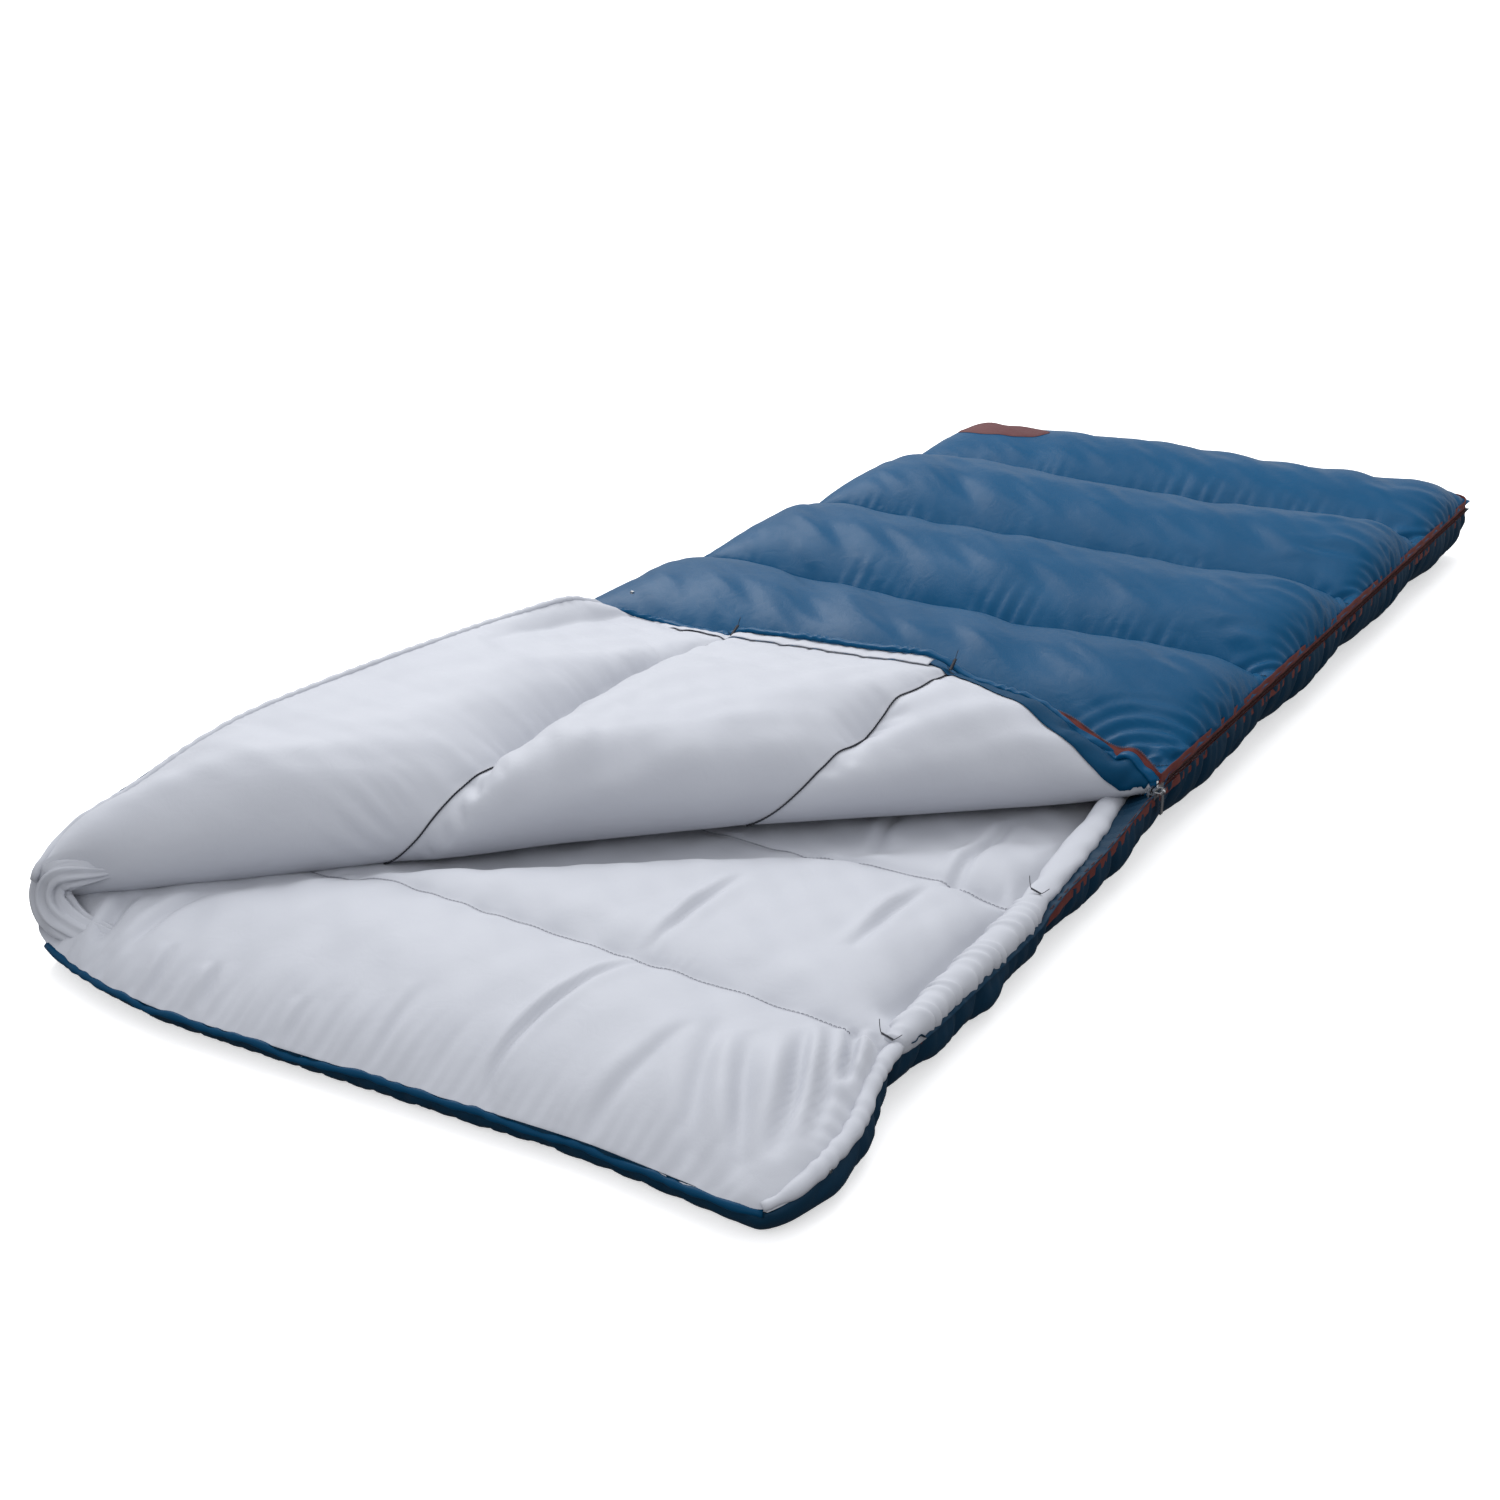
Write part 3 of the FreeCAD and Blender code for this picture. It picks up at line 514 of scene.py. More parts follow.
def flap_base(U, V):
    q, t = fold(U, V)
    Uc, Vc = corner_round(U, V)
    qc, tc = fold(Uc, Vc)
    a = -qc
    R, zc, q0 = (smooth_tab(t, ROLL_T, T, 0.03) for T in (ROLL_R, ROLL_C, ROLL_Q))
    pinch = 0.011 * np.exp(-((V - 0.18) / 0.026) ** 2) + 0.008 * np.exp(-((V - 0.475) / 0.026) ** 2)
    pinch = pinch * ss(0.10, 0.3, t) * ss(-0.9 * 0.06, 0.0, a)
    R = R - pinch; zc = zc - pinch
    zt = flap_top_z(U, V)
    tc = tc + 0.078 * np.exp(-((V - 0.18) / 0.12) ** 2) * ss(0.30, 0.02, a) * ss(0.0, 0.1, U)
    # roll
    ph = math.pi * np.clip((a + q0) / (2 * q0), 0, 1)
    q3 = q0 - R * np.sin(ph)
    z = zc - R * np.cos(ph)
    k = ss(0.5, 1.0, ph / math.pi)
    ztop = zc + R
    up = np.clip((a - q0) / 0.07, 0, 1)
    zup = mix(ztop, zt, up * up * (3 - 2 * up))
    hid = a < -q0
    q3 = np.where(hid, -a, np.where(a > q0, a, q3))
    z = np.where(hid, zc - R + 0.0, np.where(a > q0, zup, z))
    # the head end of the roll closes down onto the fold side
    x = tc * TA[0] + q3 * NA[0]
    y = tc * TA[1] + q3 * NA[1]
    zh = smooth_tab(U, HEM_U, HEM_Z, 0.015)
    z = np.where(a > 0, mix(z, zh, ss(0.05, 0.0, V)), z)
    return np.stack([x, y, z])


def flap_pin(U, V, dx):
    q, t = fold(U, V)
    m = near_seam(V, dx, SEAMS[:2])
    m = np.maximum(m, (U > W - dx * 0.5)); m = np.maximum(m, V < dx * 0.5)
    m = np.maximum(m, U < dx * 0.5); m = np.maximum(m, q > 0.075)
    m = np.maximum(m, V > 0.82)
    m = np.maximum(m, FL - t < 0.02)
    return m.astype(float)


def flap_hmin(U, V):
    q, t = fold(U, V)
    R, zc, q0 = (smooth_tab(t, ROLL_T, T, 0.03) for T in (ROLL_R, ROLL_C, ROLL_Q))
    x, y = U, V
    return np.where(-q > q0, interface(np.abs(q), t, U, V) + 0.004, 0.0455) * 1.0


def flap_hmax(U, V):
    q, t = fold(U, V)
    edge = smooth_tab(V, ZIP_V, ZIP_Z, 0.012) + 0.0035 + 0.16 * (W - U)
    return np.where(q < 0, np.minimum(0.1605, np.where(V > 0.03, edge, 1)), 0.12)


def flap_gu(U, V):
    d = seam_dist(V, SEAMS[:2])
    q, t = fold(U, V)
    g = 1.004 + 0.020 * np.exp(-d / 0.03) * (1 + 0.6 * wav(U, V * 0.2, 0.10, 23)) * ss(-0.02, -0.12, q) + 0.004 * wav(U, V, 0.14, 24)
    g = g + 0.03 * ss(0.77, 0.80, U) + 0.015 * ss(0.04, 0.0, V)
    return np.clip(g, 0.997, 1.08)


def flap_gv(U, V):
    g = 1.008 + 0.006 * wav(U, V, 0.18, 25) + 0.025 * ss(0.75, 0.80, U)
    return np.clip(g, 0.998, 1.07)


# ---- S3: lining of the bottom quilt
def head_y(x):
    return smooth_tab(x, HEAD_X, HEAD_Y, 0.012)


def edge_z(y):
    return smooth_tab(y, [-0.03, -0.02, 0.0, 0.04, 0.09, 0.13, 0.17, 0.20, 0.25, 0.44, 0.50, 0.60, 0.66, 0.69, 0.705, 2],
                      [0.022, 0.026, 0.032, 0.036, 0.038, 0.042, 0.047, 0.047, 0.0445, 0.0445, 0.054, 0.058, 0.066, 0.0705, 0.0712, 0.0712], 0.008)


def edge_x(y):
    return smooth_tab(y, [-0.035, -0.025, -0.01, 0.0, 0.03, 0.07, 0.10, 0.13, 0.16, 0.19, 0.25, 0.44, 0.50, 0.70, 2],
                      [0.800, 0.809, 0.818, 0.822, 0.826, 0.8245, 0.819, 0.809, 0.8025, 0.801, 0.803, 0.803, 0.8015, 0.8012, 0.8012], 0.008)


def foot_x(y):
    """Where the side of the bottom quilt meets the ground: it tucks in under its edge."""
    return tab(y, [-0.03, 0, 0.04, 0.09, 0.13, 0.16, 0.19, 0.25, 0.44, 0.5, 0.63, 0.70, 0.75, 2], [0.788, 0.798, 0.804, 0.801, 0.788, 0.773, 0.768, 0.770, 0.770, 0.762, 0.761, 0.755, 0.750, 0.750])


def low_base(U, V):
    x = U + 0.0
    s18 = tab(U, [0, 0.23, 0.79], [0.066, 0.066, 0.058])
    s47 = tab(U, [0, 0.47, 0.754, 0.8], [0.058, 0.056, 0.042, 0.046])
    zs = np.where(V < 0.18, s18, mix(s18, s47, ss(0.18, 0.475, V)))
    zs = np.where(V > 0.475, mix(s47, 0.044, ss(0.475, 0.77, V)), zs)
    f0 = np.clip(V / 0.18, 0, 1)
    z0 = 0.022 + (s18 - 0.022) * (1 - (1 - f0) ** 1.9) + 0.006 * (1 - np.abs(2 * f0 - 1) ** 2)
    p, i, f = panel(V, [0] + SEAMS + [L])
    z = np.where(V < 0.18, z0, zs + 0.007 * p)
    # under the roll the filling is pressed down
    q, t = fold(U, V)
    z = z - 0.012 * ss(-0.10, 0.0, q) * ss(0.2, 0.3, V) - np.clip(z - 0.047, 0, 1) * ss(-0.05, 0.01, q) * 0.9
    y = V + head_y(U) * (1 - f0) ** 1.5
    # right edge: dips beside the draft tube, then the edge itself
    edge = edge_z(y)
    e = ss(0.745, 0.795, U)
    dip = 0.006 * np.exp(-((U - 0.756) / 0.022) ** 2) * ss(0.16, 0.24, V) + 0.008 * ss(0.755, 0.775, U) * ss(0.802, 0.792, U) * ss(0.20, 0.26, V)
    z = mix(z, edge, e) - dip
    # rolled edge between the last tack and the corner
    roll = np.exp(-((U - 0.780) / 0.016) ** 2) * ss(-0.01, 0.05, V) * ss(0.185, 0.16, V)
    z = z + 0.009 * roll
    x = x + (edge_x(y) - W) * ss(0.74, 0.80, U)
    # left wrap up the fold side
    s = np.clip(0.06 - U, 0, None)
    rr = 0.030 - 0.006 * ss(0.0, 0.1, V)
    ang = np.minimum(s / rr, 2.6)
    inset = 0.022 * ss(0.0, 0.12, V)
    xl = 0.040 + inset * 0.6 - rr * 1.25 * np.sin(ang); zl = z + rr * (1 - np.cos(ang))
    zl = np.minimum(zl, 0.094)
    x = np.where(s > 0, xl + 0.020 * np.clip(1 - ang / 0.8, 0, 1), x); z = np.where(s > 0, zl, z)
    y = np.where(s > 0, y + 0.010 * ss(0, 1.5, ang) * (1 - f0), y)
    return np.stack([x, y, z])


def low_pin(U, V, dx):
    m = near_seam(V, dx)
    m = np.maximum(m, (U > W - dx * 0.5)); m = np.maximum(m, V < dx * 0.5)
    m = np.maximum(m, U < -0.06 + dx * 0.5); m = np.maximum(m, V > 0.96 - dx * 0.5)
    return m.astype(float)


def low_hmax(U, V):
    q, t = fold(U, V)
    b = low_base(U, V)[2]
    return b + np.maximum(0.011 - 0.009 * ss(-0.09, -0.01, q) * (U > 0.03) - 0.010 * ss(0.74, 0.765, U) * ss(0.19, 0.24, V), 0.001)


def low_gu(U, V):
    d = seam_dist(V)
    g = 1.000 + 0.010 * np.exp(-d / 0.02) * (1 + 0.6 * wav(U, V * 0.2, 0.12, 33)) + 0.004 * wav(U, V, 0.15, 34)
    g = g + 0.035 * np.exp(-V / 0.03) + 0.01 * ss(0.70, 0.8, U) + 0.03 * ss(0.08, 0.02, U)
    return np.clip(g, 0.997, 1.08)


def low_gv(U, V):
    g = 1.001 + 0.004 * wav(U, V, 0.17, 35) + 0.03 * ss(0.75, 0.80, U) * (1 + 0.3 * wav(U * 0.3, V, 0.08, 36))
    return np.clip(g, 0.998, 1.06)


# ---- S4: outer shell of the bottom quilt
def floor_y(x):
    return tab(x, [0.0, 0.2, 0.45, 0.53, 0.59, 0.65, 0.71, 0.77, 0.80], [0.004, -0.028, -0.022, -0.018, -0.011, -0.013, -0.016, -0.016, -0.010])


def under_base(U, V):
    # across
    sx = np.clip((U - 0.755) / 0.085, 0, 1)
    ax = sx * math.pi / 2
    p, i, f = panel(np.clip(V - 0.04, 0, 1.9), [0] + SEAMS + [L])
    bulge = (0.0105 * p + 0.0015 * wav(V, 0 * V, 0.07, 48)) * np.sin(np.pi * sx)
    # along
    Xc = np.clip(U, 0, 0.80)
    yf, yh = floor_y(Xc), head_y(Xc)
    sh = np.clip(1 - V / 0.04, 0, 1)
    sf = np.clip((V - 1.895) / 0.065, 0, 1)
    y = np.where(V < 0.04, yf - (yf - yh) * np.sin(sh * math.pi / 2), 0)
    y = np.where(V >= 0.04, mix(yf + (V - 0.04) * 0.999, 0.0 + (V - 0.04) + 0.0, ss(0.04, 0.4, V)), y)
    y = np.where(V > 1.895, 1.855 + 0.0455 * np.sin(sf * math.pi / 2) + 0.004 * np.sin(np.pi * sf), y)
    top = edge_z(y)
    lean = 0.45 * sx + 0.55 * (1 - np.cos(ax))
    ex = edge_x(y)
    fx = foot_x(y)
    x = np.where(U > 0.755, fx + (ex - fx) * (0.75 * sx + 0.25 * np.sin(ax)) + bulge * 0.8, U)
    x = np.where((U > 0.60) & (U <= 0.755), U + (fx - 0.755) * ss(0.60, 0.755, U), x)
    zx = top * (0.75 * sx + 0.25 * (1 - np.cos(ax))) - bulge * 0.5
    zh = 0.024 * (0.4 * sh + 0.6 * (1 - np.cos(sh * math.pi / 2)))
    zf = 0.0672 * (1 - np.cos(sf * math.pi / 2))
    k = np.clip(np.maximum(sh, sf), 0, 1)
    z = np.maximum(zx, np.maximum(zh, zf))
    z = mix(z, np.minimum(np.sqrt(np.maximum(zx, 0) ** 2 + np.maximum(zh, zf) ** 2), np.maximum(top, 0)), 0.7)
    z = np.where(sx > 0.999, top, z)
    return np.stack([x, y, z + 0.0004])


def under_pin(U, V, dx):
    m = np.zeros_like(U)
    m = np.maximum(m, U > 0.84 - dx * 0.5); m = np.maximum(m, U < 0.02 + dx * 0.5)
    m = np.maximum(m, V < dx * 0.5); m = np.maximum(m, V > 1.96 - dx * 0.5)
    m = np.maximum(m, near_seam(V - 0.04, dx) * (U > 0.74))
    m = np.maximum(m, (U > 0.06) & (U < 0.70) & (V > 0.10) & (V < 1.84))
    return m.astype(float)


def under_gu(U, V):
    return 1.01 + 0.02 * (U > 0.74) + 0.02 * (V < 0.06)


def under_gv(U, V):
    return np.clip(1.005 + 0.05 * ss(0.74, 0.82, U) * (1 + 0.3 * wav(U * 0.3, V, 0.09, 46)), 1, 1.1)


def fine_grid(U, V, P, dx):
    nu, nv = int(round((U[-1, 0] - U[0, 0]) / dx)) + 1, int(round((V[0, -1] - V[0, 0]) / dx)) + 1
    U2, V2 = np.meshgrid(np.linspace(U[0, 0], U[-1, 0], nu), np.linspace(V[0, 0], V[0, -1], nv), indexing="ij")
    return U2, V2, finer(P, nu, nv)


def press(P, pts, depth, width, side=1):
    """A pressed-in line with a soft ridge on each side, along a path given in (x, y)."""
    pts = np.asarray(pts, float)
    # a smooth curve through the points
    s0 = np.concatenate([[0], np.cumsum(np.hypot(*np.diff(pts, axis=0).T))]); s = np.linspace(0, s0[-1], 14 * (len(pts) - 1) + 1)
    pts = np.stack([np.interp(s, s0, pts[:, 0]), np.interp(s, s0, pts[:, 1])], 1)
    for _ in range(10):
        pts[1:-1] = (pts[:-2] + 2 * pts[1:-1] + pts[2:]) / 4
    best = np.full(P.shape[1:], 9.0); sgn = np.zeros_like(best); par = np.zeros_like(best)
    for k in range(len(pts) - 1):
        a, d = pts[k], pts[k + 1] - pts[k]
        l = float(np.hypot(*d)); d = d / l
        rx, ry = P[0] - a[0], P[1] - a[1]
        w = np.clip(rx * d[0] + ry * d[1], 0, l)
        ex_, ey_ = rx - w * d[0], ry - w * d[1]
        r = np.hypot(ex_, ey_)
        m = r < best
        best = np.where(m, r, best); sgn = np.where(m, np.sign(d[0] * ry - d[1] * rx), sgn); par = np.where(m, (k + w / l) / (len(pts) - 1), par)
    g = np.sin(np.pi * np.clip(par, 0.0, 1.0)).clip(0, 1) ** 0.7
    d = best * sgn * side
    P[2] += g * depth * (-1.0 * np.exp(-(d / width) ** 2) + 0.75 * np.exp(-((d - 2.1 * width) / (1.5 * width)) ** 2) + 0.30 * np.exp(-((d + 2.4 * width) / (2.0 * width)) ** 2)) * (best < 8 * width)


CREASES = [
    ([(0.554, -0.030), (0.533, -0.012), (0.529, 0.055), (0.550, 0.181)], 0.0050, 0.0040, 1),
    ([(0.552, 0.193), (0.548, 0.270), (0.548, 0.352)], 0.0050, 0.0046, 1),
    ([(0.701, 0.279), (0.692, 0.373), (0.692, 0.445)], 0.0056, 0.0052, 1),
    ([(0.705, 0.448), (0.690, 0.540), (0.675, 0.655)], 0.0065, 0.0057, 1),
    ([(0.600, 0.500), (0.575, 0.570), (0.560, 0.650)], 0.0034, 0.0057, 1),
    ([(0.086, -0.012), (0.075, 0.020), (0.060, 0.060)], 0.0078, 0.0066, 1),
    ([(0.130, -0.020), (0.125, 0.030), (0.120, 0.090)], 0.0062, 0.0076, 1),
    ([(0.183, -0.040), (0.178, -0.020), (0.172, 0.005)], 0.0040, 0.0047, 1),
    ([(0.243, -0.040), (0.238, -0.020), (0.229, 0.000)], 0.0047, 0.0047, 1),
    ([(0.337, -0.036), (0.336, -0.020), (0.333, 0.000)], 0.0037, 0.0047, 1),
    ([(0.430, -0.030), (0.424, 0.000), (0.420, 0.050)], 0.0025, 0.0057, 1),
    ([(0.630, -0.020), (0.640, 0.040), (0.655, 0.110)], 0.0031, 0.0066, 1),
    ([(0.741, 0.180), (0.758, 0.150), (0.790, 0.080), (0.806, 0.030)], 0.0085, 0.0057, -1),
    ([(0.735, 0.150), (0.755, 0.105), (0.775, 0.060), (0.790, 0.005)], 0.0093, 0.0076, -1),
    ([(0.700, 0.120), (0.725, 0.070), (0.755, 0.020), (0.780, -0.020)], 0.0070, 0.0085, -1),
    ([(0.758, 0.185), (0.776, 0.150), (0.792, 0.105)], 0.0124, 0.0052, 1),
    ([(0.668, 0.130), (0.690, 0.070), (0.715, 0.010), (0.728, -0.020)], 0.0047, 0.0095, -1),
]

# ---------------------------------------------------------------- build the cloths
U, V, P = cloth(-0.08, 0.80, 0.0, 1.90, top_base, top_pin, top_gu, top_gv, 5, hmax=top_hmax, hmin=top_hmin)
U, V, P = fine_grid(U, V, P, 0.004)
q, t = fold(U, V)
d_ = seam_dist(V, SEAMS + [0.0, L]); near = np.exp(-d_ / 0.05)
env = ss(0.0, 0.10, U) * ss(0.80, 0.755, U) * np.where(V < 0.77, ss(0.06, 0.16, q), 1) * ss(1.90, 1.85, V)
n2 = np.exp(-d_ / 0.024) * ss(0.0, 0.004, d_)
P[2] += env * (0.0008 * near * wav(U + 0.5 * V, V * 0.45, 0.14, 61, 10) + 0.0011 * n2 * wav(U + 0.3 * V, V * 0.30, 0.030, 62, 12) * (0.6 + 0.4 * wav(U, V, 0.12, 68)))
P[2] += env * (1 - near) * (0.0016 * wav(0.8 * U + 0.6 * V, (0.8 * V - 0.6 * U) * 0.3, 0.10, 63) + 0.0009 * wav(0.6 * U + 0.8 * V, (0.6 * V - 0.8 * U) * 0.3, 0.045, 64))
P[2] += 0.0012 * wav(U * 0.28 + 0.15 * V, V, 0.040, 67, 10) * (0.6 + 0.4 * wav(U, V, 0.09, 69)) * ss(0.66, 0.75, U) * ss(0.797, 0.775, U) * np.where(V < 0.80, ss(0.04, 0.10, q), 1) * ss(1.88, 1.82, V)
P[2] -= 0.0042 * np.exp(-(seam_dist(V) / 0.0065) ** 2) * env
r_ = np.hypot(U - 0.80, V - 0.72)
P[2] += 0.0024 * np.sin(r_ / 0.0185 * math.tau + 1.3 * wav(U, V, 0.2, 66, 3)) * ss(0.030, 0.055, r_) * ss(0.175, 0.08, r_) * ss(0.015, 0.05, q) * ss(0.798, 0.78, U)
TOPG = (U, V, P)
ismin = np.minimum.reduce([q[:-1, :-1], q[1:, :-1], q[:-1, 1:], q[1:, 1:]])
ismax = np.maximum.reduce([q[:-1, :-1], q[1:, :-1], q[:-1, 1:], q[1:, 1:]])
Uc = U[1:, 1:]; Vc = V[1:, 1:]
is_flap = (ismax < -0.03) & (Uc > 0.0)
is_crease = (ismin < 0.0) & ~is_flap & (Uc > 0.0)
# the foot end of the fold side: the cloth is gathered in to close it
wrap = U[:, -1:] < 0.045
fs_ = np.array([[0.25, 0.5, 0.75, 0.97]])
mid_ = P[:, wrap[:, 0], -1].mean(1)
edge_ = P[:, :, -1:]
ext_ = edge_ + (mid_[:, None, None] - edge_) * fs_[None]
ext_[1] += 0.010 * np.sin(fs_ * math.pi / 2) + 0.0012 * np.sin(np.arange(U.shape[0])[:, None] * 1.3) * fs_ * (1 - fs_) * 4
U3, V3 = np.broadcast_to(U[:, -1:], (U.shape[0], 4)), V[:, -1:] + 0.01 * np.arange(1, 5)[None]
keep_top = np.concatenate([~(is_flap | is_crease), np.broadcast_to(wrap[1:], (U.shape[0] - 1, 4))], 1)
top_shell = grid_object("top_shell", np.concatenate([P, ext_], 2), np.concatenate([U, U3], 1), np.concatenate([V, V3], 1), [M_SHELL], keep=keep_top)
flap_shell = grid_object("flap_shell", P, U, V, [M_SHELL], keep=is_flap)
crease = grid_object("flap_crease_shell", P, U, V, [M_SHELL], keep=is_crease)
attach(top_shell, "bag"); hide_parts("outer_shell_top", "zip_facing_top_side", "zip_facing_top_foot", "insulation_top", "outer_shell_fold", "insulation_fold")
turn_with_flap(flap_shell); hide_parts("flap_outer_shell")
turn_with_flap(crease, ss(0.001, 0.0285, -q))

U, V, P = cloth(0.0, 0.80, 0.0, 0.84, flap_base, flap_pin, flap_gu, flap_gv, 9, push=-0.010, hmin=flap_hmin, hmax=flap_hmax)
U, V, P = fine_grid(U, V, P, 0.004)
q, t = fold(U, V)
d_ = seam_dist(V, SEAMS[:2])
on_ = ss(0.02, -0.03, q) * ss(0.0, 0.02, V) * ss(0.80, 0.785, U)
P[2] += on_ * (0.0011 * np.exp(-d_ / 0.022) * wav(U, V * 0.25, 0.028, 81, 10) * ss(0.0, 0.006, d_) + 0.0010 * wav(U, V * 0.4, 0.11, 82) + 0.0005 * wav(U, V, 0.04, 83))
P[2] += on_ * 0.0016 * wav(t * 0.4, q, 0.06, 84) * ss(-0.16, -0.06, q)
FLAPG = (U, V, P)
q, t = fold(U, V)
keep = (np.maximum.reduce([q[:-1, :-1], q[1:, :-1], q[:-1, 1:], q[1:, 1:]]) < 0.095)
flap_lining = grid_object("flap_lining_roll", P, U, V, [M_LINING], keep=keep)
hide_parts("flap_lining", "flap_insulation", "lining_top")
Rt, Ct, Qt = (smooth_tab(t, ROLL_T, T_, 0.03) for T_ in (ROLL_R, ROLL_C, ROLL_Q))
turn_with_flap(flap_lining, ss(-1, 1, -q / Qt))

U, V, P = cloth(-0.06, 0.80, 0.0, 0.96, low_base, low_pin, low_gu, low_gv, 11, push=0.006, hmax=low_hmax)
U, V, P = fine_grid(U, V, P, 0.003)
ext = np.linspace(1.0, 1.88, 23)
U2, V2 = np.meshgrid(U[:, 0], ext, indexing="ij")
cut = U.shape[1]
P = np.concatenate([P, low_base(U2, V2)], 2); U = np.concatenate([U, U2], 1); V = np.concatenate([V, V2], 1)
# soft creases left by folding, then the drapes that run to the head corner
for pts, dep, wd_, side_ in CREASES:
    press(P, pts, dep, wd_, side_)
P[2] += 0.0006 * wav(U, V, 0.05, 37) + 0.0010 * wav(U + 0.3 * V, V * 0.35, 0.085, 38) * ss(0.16, 0.02, V) * ss(0.02, 0.08, U)
P[2] += 0.0006 * wav(U, V * 0.3, 0.035, 39) * np.exp(-seam_dist(V) / 0.015) * ss(0.05, 0.1, U)
LOWG = (U[:, :cut], V[:, :cut], P[:, :, :cut])
low_lining = grid_object("bottom_lining", P, U, V, [M_LINING])
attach(low_lining, "bag"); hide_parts("lining_bottom", "insulation_bottom", "lining_fold")

U, V, P = cloth(0.02, 0.84, 0.0, 1.96, under_base, under_pin, under_gu, under_gv, 13, hmin=lambda U, V: np.full_like(U, 0.0004), push=-0.010)
UNDG = (U, V, P)
# the bottom quilt's outer cloth takes the darker shell colour: painted shade, not a different cloth
under_shell = grid_object("bottom_shell", P, U, V, [M_SHELL_PAINTED_SHADE], flip=True)
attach(under_shell, "bag"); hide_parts("outer_shell_bottom", "zip_facing_bottom_foot")

# ---------------------------------------------------------------- sampling the cloths
def sampler(G):
    U, V, P = G
    u0, v0, du, dv = U[0, 0], V[0, 0], U[1, 0] - U[0, 0], V[0, 1] - V[0, 0]

    def at(u, v):
        a, b = np.clip((np.asarray(u, float) - u0) / du, 0, U.shape[0] - 1.001), np.clip((np.asarray(v, float) - v0) / dv, 0, U.shape[1] - 1.001)
        i, j = a.astype(int), b.astype(int); f, g = a - i, b - j
        return ((P[:, i, j] * (1 - f) + P[:, i + 1, j] * f) * (1 - g) + (P[:, i, j + 1] * (1 - f) + P[:, i + 1, j + 1] * f) * g).T
    return at


top_at, flap_at, low_at, under_at = (sampler(g) for g in (TOPG, FLAPG, LOWG, UNDG))


def unit(a):
    return a / np.maximum(np.linalg.norm(a, axis=-1, keepdims=True), 1e-9)


def along(path):
    t = np.gradient(path, axis=0)
    return unit(t)


def arc(path):
    return np.concatenate([[0], np.cumsum(np.linalg.norm(np.diff(path, axis=0), axis=1))])


def resample(path, step):
    s = arc(path); n = max(2, int(round(s[-1] / step)) + 1); q = np.linspace(0, s[-1], n)
    return np.stack([np.interp(q, s, path[:, k]) for k in range(3)], 1)


def soften(path, n=1):
    p = path.copy()
    for _ in range(n):
        p[1:-1] = (p[:-2] + 2 * p[1:-1] + p[2:]) / 4
    return p


def sweep(path, side, up, section, scale=None):
    """A closed section (m, 2) carried along a path; side and up are the section's axes at each point."""
    n, m = len(path), len(section)
    sc = np.ones((n, 2)) if scale is None else scale
    pts = path[:, None, :] + side[:, None, :] * (section[None, :, :1] * sc[:, None, :1]) + up[:, None, :] * (section[None, :, 1:] * sc[:, None, 1:])
    F = []
    i = np.arange(n - 1)[:, None]; j = np.arange(m)[None, :]
    a = i * m + j; b = i * m + (j + 1) % m
    F = np.stack([a, b, b + m, a + m], -1).reshape(-1, 4)
    verts = pts.reshape(-1, 3)
    # rounded ends: a centre point closes each end
    verts = np.concatenate([verts, pts[0].mean(0)[None], pts[-1].mean(0)[None]])
    c0, c1 = n * m, n * m + 1
    j = np.arange(0, m - 1, 2)
    e0 = np.stack([np.full(len(j), c0), (j + 2) % m, j + 1, j], -1)
    e1 = np.stack([np.full(len(j), c1), (n - 1) * m + j, (n - 1) * m + j + 1, (n - 1) * m + (j + 2) % m], -1)
    return verts, np.concatenate([F, e0, e1])


def ring(m, rx=1.0, ry=1.0, e=1.0):
    a = np.arange(m) / m * math.tau
    c, s = np.cos(a), np.sin(a)
    return np.stack([rx * np.sign(c) * np.abs(c) ** e, ry * np.sign(s) * np.abs(s) ** e], 1)


def join(parts):
    vs, fs, k = [], [], 0
    for v, f in parts:
        vs.append(v); fs.append(f + k); k += len(v)
    return np.concatenate(vs), np.concatenate(fs)


def frames(path, up):
    t = along(path)
    up = np.broadcast_to(np.asarray(up, float), path.shape)
    side = unit(np.cross(up, t)); u = np.cross(t, side)
    return side, u


def strip(name, path, side, width, thick, mat, ripple=None):
    """Woven tape: a thin flat section with rounded edges."""
    t = along(path); nrm = unit(np.cross(t, side))
    sec = ring(12, 1, 1, 0.55)
    w = np.broadcast_to(np.asarray(width, float), (len(path),)) / 2
    v, f = sweep(path if ripple is None else path + nrm * ripple[:, None], side, nrm, sec, np.stack([w, np.full(len(path), thick / 2)], 1))
    return mesh_object(name, v, f, [mat])


def coil(path, side, out, pitch=0.0022, amp=0.0013, depth=0.0009, r=0.00042):
    """Nylon zip coil: one filament looping across the tape edge."""
    p = resample(path, pitch / 6)
    s = arc(p); s0 = arc(path)
    sd = unit(np.stack([np.interp(s, s0, side[:, k]) for k in range(3)], 1))
    ot = unit(np.stack([np.interp(s, s0, out[:, k]) for k in range(3)], 1))
    ph = s / pitch * math.tau
    q = p + sd * (np.cos(ph) * amp)[:, None] + ot * (np.sin(ph) * depth)[:, None]
    t = along(q); b = unit(np.cross(t, ot)); c = np.cross(b, t)
    return sweep(q, b, c, ring(4, r, r))


